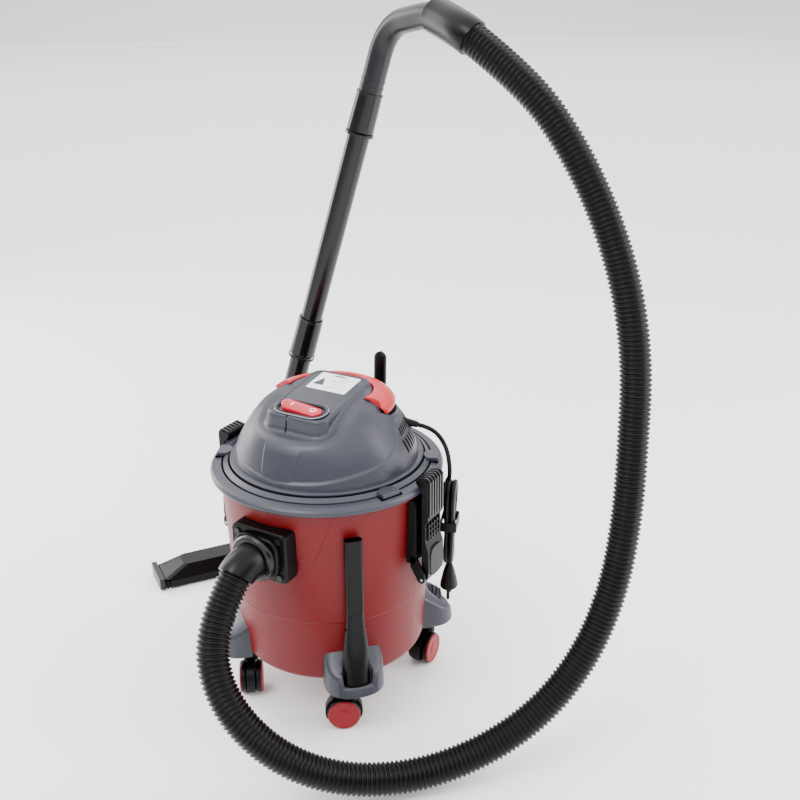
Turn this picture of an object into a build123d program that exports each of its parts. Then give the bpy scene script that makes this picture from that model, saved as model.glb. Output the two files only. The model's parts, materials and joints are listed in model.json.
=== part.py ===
from build123d import *
import os
from math import cos, sin, tan, radians

os.makedirs("parts", exist_ok=True)

# Shop vacuum. Millimetres, +Z up, the floor at z = 0, the tank's axis at x = y = 0,
# the hose inlet towards -Y, so -X is the machine's left as seen from the front.

# ---- driving dimensions -------------------------------------------------------------
TANK_FLOOR_Z = 80.0         # underside of the tank
TANK_TOP_Z = 352.0          # top of the tank's rim
TANK_R_FLOOR = 136.0        # outer radius at the floor
TANK_R_STEP = 141.5         # outer radius just under the moulded step
TANK_STEP_Z = 178.0
TANK_R_RIM = 151.0          # outer radius just under the rim
RIM_R = 156.0
WALL = 3.0
RING_R = 165.0              # outer radius of the head's ring
RING_Z = 354.0              # underside of the ring
GASKET_T = RING_Z - TANK_TOP_Z
PAN_TOP_Z = 371.0           # where the dome sits
LATCH_HALF = 22.0           # half the width of a side clip
LATCH_Y = -2.5              # middle of a side clip
LATCH_PIVOT = (170.0, 228.0)
INLET_Z = 292.0
INLET_BORE_R = 21.6
HOSE_R = 21.5
HOSE_BORE_R = 18.2
CORD_R = 3.25
WHEEL_R = 24.0
SHAFT_GAP = 0.05            # radial clearance of a shaft in its bore
STEM_R = 4.0
TOOL_R = 159.0              # how far out a docked tool stands
TOOL_ANGLE = -45.0

WAND_BASE = Vector(-281, 164, 60)
WAND_DIR = Vector(219, 73, 782).normalized()
WAND_LENGTH = 815.0
WAND_R = 17.0
WAND_WALL = 1.5

FLOOR_TOOL_MID = Vector(-328, 180, 0)
FLOOR_TOOL_TURN = 55.0
FLOOR_TOOL_SIZE = (300.0, 66.0, 38.0)

HOSE_ROUTE = [
    (137, 167, 924), (219, 163, 872), (283, 162, 798), (333, 165, 711), (369, 165, 617),
    (391, 157, 520), (400, 137, 421), (409, 108, 324), (410, 69, 232), (394, 17, 150),
    (356, -45, 84), (298, -113, 42), (226, -182, 25), (151, -243, 40), (80, -284, 88),
    (22, -296, 160), (-8, -268, 232), (-4, -214, 281)]

HANDLE_ROUTE = [
    WAND_BASE + WAND_DIR * 780, WAND_BASE + WAND_DIR * 913, Vector(60, 206, 952), Vector(118, 177, 931)]
HANDLE_BENDS = [58.0, 110.0]

CORD_ROUTE = [
    (112, 64, 414), (126, 75, 408), (141, 79, 395), (154, 74, 380), (162, 66, 363),
    (166, 60, 346)]


def arc_radii(route):
    """The largest arc that each corner of a cord's route allows."""
    points = [Vector(*p) for p in route]
    radii = []
    for before, here, after in zip(points, points[1:], points[2:]):
        shorter = min((here - before).length, (after - here).length)
        turn = (here - before).get_angle(after - here)
        radii.append(0.45 * shorter / tan(radians(turn) / 2))
    return radii


def around(angle, radius, z=0.0):
    """A plane that stands at an angle round the tank, its X pointing outwards."""
    a = radians(angle)
    return Plane(origin=(radius * cos(a), radius * sin(a), z), x_dir=(cos(a), sin(a), 0), z_dir=(0, 0, 1))


def finish(part, name):
    """Label one piece, write it, and say how much of it there is."""
    part.part.label = name
    export_step(part.part, f"parts/{name}.step")


# ---- tank ---------------------------------------------------------------------------
with BuildPart() as tank_solid:
    with BuildSketch(Plane.XZ):
        with BuildLine():
            Polyline((0, TANK_FLOOR_Z), (TANK_R_FLOOR, TANK_FLOOR_Z), (TANK_R_STEP, TANK_STEP_Z),
                     (TANK_R_STEP + 1.6, TANK_STEP_Z + 3), (TANK_R_RIM, TANK_TOP_Z - 6),
                     (RIM_R, TANK_TOP_Z - 5), (RIM_R, TANK_TOP_Z), (0, TANK_TOP_Z), close=True)
        make_face()
    revolve(axis=Axis.Z)
    fillet(tank_solid.edges().filter_by(GeomType.CIRCLE).group_by(Axis.Z)[0], 12)

with BuildPart() as tank_space:
    with BuildSketch(Plane.XZ):
        with BuildLine():
            Polyline((0, TANK_FLOOR_Z + WALL), (TANK_R_FLOOR - WALL, TANK_FLOOR_Z + WALL),
                     (TANK_R_STEP - WALL, TANK_STEP_Z), (TANK_R_STEP + 1.6 - WALL, TANK_STEP_Z + 3),
                     (TANK_R_RIM - WALL, TANK_TOP_Z - 6), (TANK_R_RIM - WALL, TANK_TOP_Z + 1),
                     (0, TANK_TOP_Z + 1), close=True)
        make_face()
    revolve(axis=Axis.Z)
    fillet(tank_space.edges().filter_by(GeomType.CIRCLE).group_by(Axis.Z)[0], 9)

INLET_PLANE = Plane(origin=(0, 0, INLET_Z), x_dir=(1, 0, 0), z_dir=(0, -1, 0))
INLET_SCREWS = (66.0, 54.0)
FOOT_ANGLES = {"front_right": -45, "front_left": -135, "rear_right": 45, "rear_left": 135}
FOOT_SCREW_R = 108.0

with BuildPart() as tank:
    add(tank_solid.part)
    add(tank_space.part, mode=Mode.SUBTRACT)
    with BuildSketch(INLET_PLANE):
        Circle(INLET_BORE_R + 0.4)
        with GridLocations(*INLET_SCREWS, 2, 2):
            Circle(2.2)
    extrude(amount=200, mode=Mode.SUBTRACT)
    with BuildSketch(Plane.XY):
        with PolarLocations(FOOT_SCREW_R, 4, start_angle=45):
            Circle(2.2)
    extrude(amount=TANK_FLOOR_Z + 10, mode=Mode.SUBTRACT)
finish(tank, "tank")

# ---- feet and casters ---------------------------------------------------------------
FOOT_HALF = 42.0
FOOT_TOP_Z = 138.0
FOOT_LIP_Z = 92.0
FOOT_SKIRT_Z = 77.0
FOOT_PAD_Z = 64.0
SOCKET = (25.0, 37.0)       # the oval socket: along the radius, and across it
SOCKET_FLOOR_Z = 81.0
REACH = {"front": 177.0, "rear": 186.0}
PIVOT_R = {"front": 128.0, "rear": 150.0}
CASTER_TURN = {"front_right": -56.0, "front_left": 35.0, "rear_right": 2.0, "rear_left": 160.0}
TRAIL = 13.0
CASTER_HALF = 17.0

for place, angle in FOOT_ANGLES.items():
    row = place.split("_")[0]
    reach = REACH[row]
    outward = around(angle, 0)
    side = Plane(origin=(0, 0, 0), x_dir=outward.x_dir, z_dir=outward.y_dir * -1)
    with BuildPart() as foot:
        with BuildSketch(side):
            with BuildLine():
                Polyline((96, FOOT_PAD_Z), (PIVOT_R[row] + 16, FOOT_PAD_Z),
                         (PIVOT_R[row] + 18, FOOT_SKIRT_Z), (reach - 5, FOOT_SKIRT_Z),
                         (reach, FOOT_SKIRT_Z + 5), (reach, FOOT_LIP_Z + 4), (reach - 26, FOOT_TOP_Z - 10),
                         (reach - 38, FOOT_TOP_Z), (96, FOOT_TOP_Z), close=True)
            make_face()
        extrude(amount=FOOT_HALF, both=True)
        with BuildSketch(outward):
            with BuildLine():
                Polyline((90, -FOOT_HALF - 1), (150, -FOOT_HALF + 1), (reach - 12, -FOOT_HALF + 12),
                         (reach + 1, -FOOT_HALF + 24), (reach + 1, FOOT_HALF - 24),
                         (reach - 12, FOOT_HALF - 12), (150, FOOT_HALF - 1), (90, FOOT_HALF + 1), close=True)
            make_face()
        extrude(amount=FOOT_TOP_Z + 5, mode=Mode.INTERSECT)
        add(tank_solid.part, mode=Mode.SUBTRACT)
        with BuildSketch(Plane.XY.offset(TANK_FLOOR_Z)):
            Circle(TANK_R_FLOOR - 1)
        extrude(amount=60, mode=Mode.SUBTRACT)
        with BuildSketch(around(angle, TOOL_R, SOCKET_FLOOR_Z)):
            Ellipse(SOCKET[0] / 2, SOCKET[1] / 2)
        extrude(amount=80, mode=Mode.SUBTRACT)
        with BuildSketch(around(angle, TOOL_R + 20, FOOT_LIP_Z)):
            Rectangle(40, SOCKET[1])
        extrude(amount=80, mode=Mode.SUBTRACT)
        with BuildSketch(around(angle, PIVOT_R[row], FOOT_PAD_Z - 1)):
            Circle(STEM_R + SHAFT_GAP)
        extrude(amount=12.5, mode=Mode.SUBTRACT)
        with BuildSketch(around(angle, FOOT_SCREW_R, FOOT_PAD_Z - 1)):
            Circle(2.2)
        extrude(amount=40, mode=Mode.SUBTRACT)
    finish(foot, f"foot_{place}")

    pivot = around(angle, PIVOT_R[row]).origin
    turn = radians(CASTER_TURN[place])
    axle = Vector(cos(turn), sin(turn), 0)
    trail = Vector(sin(turn), -cos(turn), 0) * TRAIL
    hub = Plane(origin=pivot + trail + Vector(0, 0, WHEEL_R), x_dir=axle.cross(Vector(0, 0, 1)), z_dir=axle)
    with BuildPart() as caster:
        with BuildSketch(hub):
            Circle(WHEEL_R + 3)
        extrude(amount=6, both=True)
        with BuildSketch(hub):
            with Locations((0, WHEEL_R)):
                Rectangle(3 * WHEEL_R, 2 * 12)
        extrude(amount=20, both=True, mode=Mode.SUBTRACT)
        with BuildSketch(Plane(origin=pivot + Vector(0, 0, 44), z_dir=(0, 0, 1))):
            Circle(11)
        extrude(amount=18)
        with BuildSketch(Plane(origin=pivot + Vector(0, 0, 60), z_dir=(0, 0, 1))):
            Circle(STEM_R)
        extrude(amount=14)
        with BuildSketch(hub):
            Circle(3 + SHAFT_GAP)
        extrude(amount=20, both=True, mode=Mode.SUBTRACT)
        with BuildSketch(hub.offset(6.4)):
            Circle(WHEEL_R + 1)
        extrude(amount=20, mode=Mode.SUBTRACT)
        with BuildSketch(hub.offset(-6.4)):
            Circle(WHEEL_R + 1)
        extrude(amount=-20, mode=Mode.SUBTRACT)
    finish(caster, f"caster_{place}")

    with BuildPart() as wheels:
        with BuildSketch(hub):
            Circle(3)
        extrude(amount=CASTER_HALF - 1, both=True)
        with BuildSketch(hub.offset(6.8)):
            Circle(WHEEL_R)
        extrude(amount=CASTER_HALF - 6.8)
        with BuildSketch(hub.offset(-6.8)):
            Circle(WHEEL_R)
        extrude(amount=-(CASTER_HALF - 6.8))
        rims = wheels.edges().filter_by(GeomType.CIRCLE).filter_by(lambda e: e.radius > WHEEL_R - 1)
        fillet(rims, 1.5)
    finish(wheels, f"caster_wheels_{place}")

with BuildPart() as foot_screws:
    with BuildSketch(Plane.XY.offset(FOOT_PAD_Z + 2)):
        with PolarLocations(FOOT_SCREW_R, 4, start_angle=45):
            Circle(2.1)
    extrude(amount=TANK_FLOOR_Z + WALL - FOOT_PAD_Z - 2)
    with BuildSketch(Plane.XY.offset(TANK_FLOOR_Z + WALL)):
        with PolarLocations(FOOT_SCREW_R, 4, start_angle=45):
            Circle(4.5)
    extrude(amount=3)
finish(foot_screws, "foot_screws")

# ---- inlet --------------------------------------------------------------------------
GASKET_WRAP = 1.5
FLANGE = (88.0, 74.0)
FLANGE_Y = 168.0

with BuildPart() as tank_skin:
    add(tank_solid.part)
    with BuildSketch(Plane.XY.offset(TANK_FLOOR_Z)):
        Circle(TANK_R_RIM + GASKET_WRAP - 1.0)
    extrude(amount=TANK_TOP_Z - TANK_FLOOR_Z - 20)

with BuildPart() as inlet_port:
    with BuildSketch(INLET_PLANE.offset(130)):
        RectangleRounded(*FLANGE, 9)
    extrude(amount=FLANGE_Y - 130)
    add(tank_skin.part, mode=Mode.SUBTRACT)
    fillet(inlet_port.faces().sort_by(Axis.Y)[0].edges(), 3)
    with BuildSketch(INLET_PLANE.offset(FLANGE_Y)):
        Circle(30)
    extrude(amount=17)
    fillet(inlet_port.faces().sort_by(Axis.Y)[0].edges().filter_by(GeomType.CIRCLE), 2.5)
    with BuildSketch(INLET_PLANE.offset(120)):
        Circle(INLET_BORE_R)
        with GridLocations(*INLET_SCREWS, 2, 2):
            Circle(2.2)
    extrude(amount=100, mode=Mode.SUBTRACT)
finish(inlet_port, "inlet_port")

with BuildPart() as inlet_gasket:
    with BuildSketch(INLET_PLANE.offset(132)):
        RectangleRounded(FLANGE[0] - 6, FLANGE[1] - 6, 7)
    extrude(amount=25)
    add(tank_skin.part, mode=Mode.INTERSECT)
    add(tank_solid.part, mode=Mode.SUBTRACT)
    with BuildSketch(INLET_PLANE.offset(120)):
        Circle(INLET_BORE_R + 0.4)
        with GridLocations(*INLET_SCREWS, 2, 2):
            Circle(2.2)
    extrude(amount=100, mode=Mode.SUBTRACT)
finish(inlet_gasket, "inlet_gasket")

with BuildPart() as inlet_deflector:
    with BuildSketch(INLET_PLANE.offset(126)):
        RectangleRounded(80, 66, 7)
    extrude(amount=25)
    add(tank_space.part, mode=Mode.INTERSECT)
    with BuildSketch(INLET_PLANE.offset(104)):
        RectangleRounded(58, 54, 6)
    extrude(amount=24)
    with BuildSketch(INLET_PLANE.offset(107)):
        with Locations((0, 0)):
            RectangleRounded(52, 48, 4)
        with Locations((0, -20)):
            Rectangle(52, 40)
    extrude(amount=17, mode=Mode.SUBTRACT)
    with BuildSketch(INLET_PLANE.offset(110)):
        Circle(INLET_BORE_R)
        with GridLocations(*INLET_SCREWS, 2, 2):
            Circle(2.0)
    extrude(amount=60, mode=Mode.SUBTRACT)
finish(inlet_deflector, "inlet_deflector")

with BuildPart() as inlet_screws:
    with BuildSketch(INLET_PLANE.offset(128)):
        with GridLocations(*INLET_SCREWS, 2, 2):
            Circle(2.0)
    extrude(amount=FLANGE_Y - 128)
    with BuildSketch(INLET_PLANE.offset(FLANGE_Y)):
        with GridLocations(*INLET_SCREWS, 2, 2):
            Circle(4.2)
    extrude(amount=2.6)
finish(inlet_screws, "inlet_screws")

# ---- side clips ---------------------------------------------------------------------
PIN_R = 2.0
for name, hand in (("right", 1), ("left", -1)):
    section = Plane(origin=(0, LATCH_Y, 0), x_dir=(hand, 0, 0), z_dir=(0, -hand, 0))
    px, pz = LATCH_PIVOT
    with BuildPart() as latch:
        with BuildSketch(section):
            with BuildLine():
                Polyline((166.6, 240), (166.6, 361), (158, 371.2), (158, 376), (172, 378.5),
                         (176.5, 374), (176.5, 318), (172.5, 312), (172.5, 284), (177, 270),
                         (178, 240), (175.5, 226), (164.5, 226), close=True)
            make_face()
        extrude(amount=LATCH_HALF, both=True)
        with BuildSketch(section):
            with Locations((px, pz)):
                Circle(6)
        extrude(amount=LATCH_HALF, both=True)
        with BuildSketch(section):
            with Locations((px, pz)):
                Circle(PIN_R + SHAFT_GAP)
        extrude(amount=60, both=True, mode=Mode.SUBTRACT)
    finish(latch, f"latch_{name}")

    with BuildPart() as latch_bracket:
        with BuildSketch(section):
            with BuildLine():
                Polyline((140, 248), (158, 248), (162.5, 256), (162.5, 340), (157, 346.5), (140, 346.5),
                         close=True)
            make_face()
        extrude(amount=LATCH_HALF + 15, both=True)
        for end in (-1, 1):
            ear = section.offset(end * (LATCH_HALF + 3.3))
            with BuildSketch(ear):
                with BuildLine():
                    Polyline((140, 236), (164, 221), (176, 221), (177, 234), (162.5, 262), (140, 262),
                             close=True)
                make_face()
            extrude(amount=2.5, both=True)
        add(tank_solid.part, mode=Mode.SUBTRACT)
        with BuildSketch(section):
            with Locations((px, pz)):
                Circle(PIN_R)
        extrude(amount=60, both=True, mode=Mode.SUBTRACT)
    finish(latch_bracket, f"latch_bracket_{name}")

    with BuildPart() as latch_pin:
        with BuildSketch(section):
            with Locations((px, pz)):
                Circle(PIN_R)
        extrude(amount=LATCH_HALF + 6.5, both=True)
    finish(latch_pin, f"latch_pin_{name}")

# ---- head: ring, dome and trim --------------------------------------------------------
PAN_R = 137.0
DOME_SECTIONS = [(371, 128, 127), (385, 126.5, 122), (403, 122, 115), (418, 114, 108.5), (432, 104.5, 100),
                 (446, 93, 89), (457, 79, 78), (467, 62, 64), (473, 44, 48)]
SHELL = 2.6
LUG_ANGLES = (27, -24, 153, 204)

with BuildPart() as head_base:
    with BuildSketch(Plane.XZ):
        with BuildLine():
            Polyline((52, RING_Z), (139, RING_Z), (139, 331), (143, 331), (143, RING_Z), (RING_R, RING_Z),
                     (RING_R, 359.5), (160, 365), (150, 366), (148.8, 364.6), (147.2, 364.6), (146, 366.4),
                     (PAN_R, PAN_TOP_Z), (125, PAN_TOP_Z), (125, RING_Z + 3), (52, RING_Z + 3), close=True)
        make_face()
    revolve(axis=Axis.Z)
    for angle in LUG_ANGLES:
        with BuildSketch(around(angle, 147.5, 360)):
            RectangleRounded(20, 27, 6)
        extrude(amount=12.5)
finish(head_base, "head_base")

with BuildPart() as tank_gasket:
    with BuildSketch(Plane.XY.offset(TANK_TOP_Z)):
        Circle(RIM_R - 0.5)
        Circle(TANK_R_RIM - WALL + 0.5, mode=Mode.SUBTRACT)
    extrude(amount=GASKET_T)
finish(tank_gasket, "tank_gasket")

HANDLE_MID = (0, 10)
HANDLE_SECTION = [(62, 449), (62, 467), (80, 462), (93, 451.5), (92, 441), (80, 441)]


def handle_profile(grow):
    """The carry handle's section, grown evenly for the seam round it."""
    return [(x + (grow if x > 70 else -grow), z + (grow if z > 455 else -grow)) for x, z in HANDLE_SECTION]


HANDLE_FRONT = Plane(origin=(*HANDLE_MID, 0), x_dir=(cos(radians(-6)), sin(radians(-6)), 0),
                     z_dir=(-sin(radians(6)), -cos(radians(6)), 0))
HANDLE_AXIS = Axis((*HANDLE_MID, 0), (0, 0, 1))

with BuildPart() as carry_handle:
    with BuildSketch(HANDLE_FRONT):
        with BuildLine():
            Polyline(*handle_profile(0), close=True)
        make_face()
    revolve(axis=HANDLE_AXIS, revolution_arc=192)
finish(carry_handle, "carry_handle")

with BuildPart() as handle_room:
    with BuildSketch(HANDLE_FRONT):
        with BuildLine():
            Polyline(*handle_profile(0.5), close=True)
        make_face()
    revolve(axis=HANDLE_AXIS, revolution_arc=192)
    with BuildSketch(Plane.XY.offset(430)):
        with Locations((-77, 0), (77, 0)):
            Rectangle(34, 5)
    extrude(amount=39)

SWITCH_AT = Vector(0, -57, 458.6)
PANEL_SLOPE = 8.5           # the flat top panel rises towards the back
SWITCH_WELL = (74.0, 31.0)
PANEL = Plane(origin=SWITCH_AT, x_dir=(1, 0, 0),
              z_dir=(0, -sin(radians(PANEL_SLOPE)), cos(radians(PANEL_SLOPE))))
PANEL_SIZE = (96.0, 131.0)
PANEL_MID = (0.0, -13.5)
PORT_ANGLE = 125.0          # the blowing port looks back and to the left
PORT_PLANE = Plane(origin=(0, 0, 393.5), x_dir=(-sin(radians(PORT_ANGLE)), cos(radians(PORT_ANGLE)), 0),
                   z_dir=(cos(radians(PORT_ANGLE)), sin(radians(PORT_ANGLE)), 0))
PORT_R = 20.5

with BuildPart() as dome_solid:
    for z, rx, ry in DOME_SECTIONS:
        with BuildSketch(Plane.XY.offset(z)):
            Ellipse(rx, ry)
    loft()

with BuildPart() as dome_space:
    for z, rx, ry in DOME_SECTIONS:
        with BuildSketch(Plane.XY.offset(z - (SHELL if z > 371 else 0.5))):
            Ellipse(rx - SHELL, ry - SHELL)
    loft()

with BuildPart() as pod:
    with BuildSketch(Plane.XY.offset(425)):
        with Locations(PANEL_MID):
            RectangleRounded(*PANEL_SIZE, 16)
    extrude(amount=60)
    with BuildSketch(Plane.YZ):
        with BuildLine():
            Polyline((-79, 425), (-77.5, 451), (-73, 456.2), (52, 474.9), (52, 425), close=True)
        make_face()
    extrude(amount=60, both=True, mode=Mode.INTERSECT)

with BuildPart() as above_panel:
    with BuildSketch(Plane.XY.offset(430)):
        with Locations(PANEL_MID):
            RectangleRounded(*PANEL_SIZE, 16)
    extrude(amount=80)
    with BuildSketch(PANEL):
        Rectangle(300, 400)
    extrude(amount=-200, mode=Mode.SUBTRACT)

with BuildPart() as pod_space:
    with BuildSketch(Plane.XY.offset(420)):
        with Locations(PANEL_MID):
            RectangleRounded(PANEL_SIZE[0] - 2 * SHELL, PANEL_SIZE[1] - 2 * SHELL, 14)
    extrude(amount=80)
    with BuildSketch(PANEL.offset(-SHELL)):
        Rectangle(300, 400)
    extrude(amount=200, mode=Mode.SUBTRACT)

GRIP_BOX = (104.0, 80.0, 38.0)
with BuildPart() as grip_pocket:
    with BuildSketch(Plane.XY.offset(414)):
        with Locations((0, 98)):
            RectangleRounded(GRIP_BOX[0], GRIP_BOX[1], 12)
    extrude(amount=GRIP_BOX[2])

with BuildPart() as head_cover:
    add(dome_solid.part)
    add(above_panel.part, mode=Mode.SUBTRACT)
    add(pod.part)
    with BuildSketch(Plane.XY.offset(PAN_TOP_Z)):
        Ellipse(PAN_R, PAN_R)
    extrude(amount=3.5)
    add(dome_space.part, mode=Mode.SUBTRACT)
    add(pod_space.part, mode=Mode.SUBTRACT)
    with BuildPart(mode=Mode.PRIVATE) as pocket_wall:
        add(grip_pocket.part)
        add(dome_solid.part, mode=Mode.INTERSECT)
    add(pocket_wall.part)
    with BuildSketch(Plane.XY.offset(414 + SHELL)):
        with Locations((0, 98)):
            RectangleRounded(GRIP_BOX[0] - 2 * SHELL, GRIP_BOX[1] - 2 * SHELL, 10)
    extrude(amount=60, mode=Mode.SUBTRACT)
    add(handle_room.part, mode=Mode.SUBTRACT)
    with BuildSketch(PANEL.offset(-25)):
        SlotOverall(*SWITCH_WELL)
    extrude(amount=60, mode=Mode.SUBTRACT)
    with BuildSketch(PORT_PLANE):
        Circle(PORT_R)
    extrude(amount=200, mode=Mode.SUBTRACT)
    for hand in (-1, 1):
        for i in range(8):
            slot = around(90 - hand * (90 - (4 + 4.2 * i)), 90)
            with BuildSketch(slot.offset(398)):
                Rectangle(90, 3.2)
            extrude(amount=26, mode=Mode.SUBTRACT)
finish(head_cover, "head_cover")

WELL_DEPTH = 19.0
with BuildPart() as switch_bezel:
    with BuildSketch(PANEL.offset(-WELL_DEPTH)):
        SlotOverall(*SWITCH_WELL)
    extrude(amount=WELL_DEPTH)
    with BuildSketch(PANEL):
        SlotOverall(SWITCH_WELL[0] + 4, SWITCH_WELL[1] + 4)
    extrude(amount=1.2)
    with BuildSketch(PANEL.offset(2 - WELL_DEPTH)):
        SlotOverall(SWITCH_WELL[0] - 4, SWITCH_WELL[1] - 4)
    extrude(amount=30, mode=Mode.SUBTRACT)
finish(switch_bezel, "switch_bezel")

# The rocker lies at its off stop, its left end up, and swings to the on stop.
ROCKER_HALF = 31.0
ROCKER_WIDTH = 22.0
ROCKER_TILT = 6.5
ROCKER_PIVOT = PANEL.offset(-5).origin
ROCKER = Plane(origin=ROCKER_PIVOT, x_dir=(cos(radians(ROCKER_TILT)), 0, -sin(radians(ROCKER_TILT))),
               z_dir=PANEL.y_dir * -1)
with BuildPart() as rocker_switch:
    with BuildSketch(ROCKER):
        with BuildLine():
            Polyline((-ROCKER_HALF, 8), (0, 6.5), (ROCKER_HALF, 8), (ROCKER_HALF, 1), (0, -3),
                     (-ROCKER_HALF, 1), close=True)
        make_face()
    extrude(amount=ROCKER_WIDTH / 2, both=True)
    with BuildSketch(Plane(origin=ROCKER_PIVOT, x_dir=ROCKER.x_dir, z_dir=ROCKER.y_dir).offset(-20)):
        RectangleRounded(2 * ROCKER_HALF - 0.4, ROCKER_WIDTH, 9)
    extrude(amount=40, mode=Mode.INTERSECT)
finish(rocker_switch, "rocker_switch")

LABEL_SIZE = (64.0, 46.0)
with BuildPart() as blank_label:
    with BuildSketch(PANEL):
        with Locations((0, 80)):
            RectangleRounded(*LABEL_SIZE, 2)
    extrude(amount=0.4)
finish(blank_label, "blank_label")

# The hook that the cord is wound on stands off the back of the dome and turns up.
with BuildPart() as cord_hook:
    with BuildSketch(Plane.YZ):
        with BuildLine():
            Polyline((110, 384), (140, 390), (152, 404), (155, 472), (150, 477), (145, 472), (142, 412),
                     (134, 404), (110, 400), close=True)
        make_face()
    extrude(amount=10, both=True)
    add(dome_solid.part, mode=Mode.SUBTRACT)
finish(cord_hook, "cord_hook")

with BuildPart() as exhaust_port:
    with BuildSketch(PORT_PLANE.offset(92)):
        Circle(PORT_R)
    extrude(amount=48)
    with BuildSketch(PORT_PLANE.offset(90)):
        Circle(17.6)
    extrude(amount=60, mode=Mode.SUBTRACT)
finish(exhaust_port, "exhaust_port")

# ---- motor and fan ------------------------------------------------------------------
FAN_R = 60.0
MOTOR_R = 45.0
SHAFT_R = 5.0

with BuildPart() as motor_housing:
    with BuildSketch(Plane.XZ):
        with BuildLine():
            Polyline((30, 357), (72, 357), (72, 360), (FAN_R + 6, 360), (FAN_R + 6, 383), (MOTOR_R + 3, 383),
                     (MOTOR_R + 3, 428), (13, 428), (13, 425), (MOTOR_R, 425), (MOTOR_R, 380), (13, 380),
                     (13, 377), (FAN_R + 3, 377), (FAN_R + 3, 360), (30, 360), close=True)
        make_face()
    revolve(axis=Axis.Z)
finish(motor_housing, "motor_housing")

with BuildPart() as stator:
    with BuildSketch(Plane.XY.offset(386)):
        Circle(MOTOR_R)
        Circle(26, mode=Mode.SUBTRACT)
    extrude(amount=26)
finish(stator, "stator")

with BuildPart() as rotor:
    with BuildSketch(Plane.XZ):
        with BuildLine():
            Polyline((0, 362), (SHAFT_R, 362), (SHAFT_R, 387), (24, 387), (24, 411), (12, 411), (12, 422),
                     (SHAFT_R, 422), (SHAFT_R, 431), (0, 431), close=True)
        make_face()
    revolve(axis=Axis.Z)
finish(rotor, "rotor")

with BuildPart() as bearings:
    for z in (377, 425):
        with BuildSketch(Plane.XY.offset(z)):
            Circle(13)
            Circle(SHAFT_R + SHAFT_GAP, mode=Mode.SUBTRACT)
        extrude(amount=3)
finish(bearings, "bearings")

with BuildPart() as impeller:
    with BuildSketch(Plane.XY.offset(362)):
        Circle(FAN_R - 2)
        Circle(28, mode=Mode.SUBTRACT)
    extrude(amount=1.5)
    with BuildSketch(Plane.XY.offset(372.5)):
        Circle(FAN_R - 2)
        Circle(SHAFT_R, mode=Mode.SUBTRACT)
    extrude(amount=1.5)
    with BuildSketch(Plane.XY.offset(363)):
        with PolarLocations(0, 9):
            with Locations(Location((FAN_R / 2 + 12, 8), 35)):
                Rectangle(30, 1.6)
    extrude(amount=10)
finish(impeller, "impeller")

# ---- filter -------------------------------------------------------------------------
CAGE_R = 47.0
CAGE_Z = 236.0
with BuildPart() as filter_cage:
    with BuildSketch(Plane.XY.offset(CAGE_Z)):
        Circle(CAGE_R)
    extrude(amount=RING_Z - CAGE_Z)
    with BuildSketch(Plane.XY.offset(RING_Z)):
        Circle(CAGE_R)
    extrude(amount=3)
    with BuildSketch(Plane.XY.offset(CAGE_Z + 3)):
        Circle(CAGE_R - 2.5)
    extrude(amount=RING_Z - CAGE_Z - 6, mode=Mode.SUBTRACT)
    with BuildSketch(Plane.XY.offset(RING_Z - 6)):
        Circle(26)
    extrude(amount=20, mode=Mode.SUBTRACT)
    for level in (246, 282, 318):
        with BuildSketch(Plane.XY.offset(level)):
            with PolarLocations(CAGE_R - 1, 12):
                Rectangle(8, 10)
        extrude(amount=26, mode=Mode.SUBTRACT)
finish(filter_cage, "filter_cage")

with BuildPart() as float_valve:
    with BuildSketch(Plane.XY.offset(CAGE_Z + 3.2)):
        Circle(34)
    extrude(amount=34)
    fillet(float_valve.edges().filter_by(GeomType.CIRCLE), 5)
finish(float_valve, "float")

with BuildPart() as cartridge_filter:
    with BuildSketch(Plane.XY.offset(228)):
        Circle(74)
        Circle(CAGE_R + 1, mode=Mode.SUBTRACT)
    extrude(amount=RING_Z - 228)
finish(cartridge_filter, "cartridge_filter")

with BuildPart() as filter_clamp:
    with BuildSketch(Plane.XY.offset(220)):
        Circle(70)
    extrude(amount=8)
    with BuildSketch(Plane.XY.offset(206)):
        RectangleRounded(60, 12, 3)
    extrude(amount=14)
    with BuildSketch(Plane.XY.offset(228)):
        Circle(12)
    extrude(amount=8)
finish(filter_clamp, "filter_clamp")

with BuildPart() as head_screws:
    with BuildSketch(Plane.XY.offset(RING_Z - 2.5)):
        with PolarLocations(131, 6, start_angle=30):
            Circle(4)
    extrude(amount=2.5)
finish(head_screws, "head_screws")

# ---- hose ---------------------------------------------------------------------------
hose_radii = arc_radii(HOSE_ROUTE)
with BuildPart() as hose:
    with BuildLine() as hose_path:
        FilletPolyline(*HOSE_ROUTE, radius=hose_radii)
    with BuildSketch(Plane(origin=hose_path.line @ 0, z_dir=hose_path.line % 0)):
        Circle(HOSE_R)
        Circle(HOSE_BORE_R, mode=Mode.SUBTRACT)
    sweep()
finish(hose, "hose")
hose_area = 3.14159265 * (HOSE_R ** 2 - HOSE_BORE_R ** 2)
print("hose length", round(hose_path.wire().length), "radii", [round(r) for r in hose_radii])
print("hose volume over section x length", round(hose.part.volume / hose_area / hose_path.wire().length, 4))

HOSE_START = hose_path.line @ 0
HOSE_START_DIR = hose_path.line % 0
HOSE_END = hose_path.line @ 1
HOSE_END_DIR = hose_path.line % 1

with BuildPart() as hose_cuff_tank:
    with BuildLine() as cuff_path:
        Bezier(HOSE_END, HOSE_END + HOSE_END_DIR * 12, (0, -195, INLET_Z), (0, -186, INLET_Z))
    with BuildSketch(Plane(origin=cuff_path.line @ 0, z_dir=cuff_path.line % 0)):
        Circle(HOSE_R + 3)
        Circle(HOSE_BORE_R, mode=Mode.SUBTRACT)
    sweep()
    with BuildSketch(INLET_PLANE.offset(150)):
        Circle(INLET_BORE_R)
        Circle(HOSE_BORE_R, mode=Mode.SUBTRACT)
    extrude(amount=36)
finish(hose_cuff_tank, "hose_cuff_tank")

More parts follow.
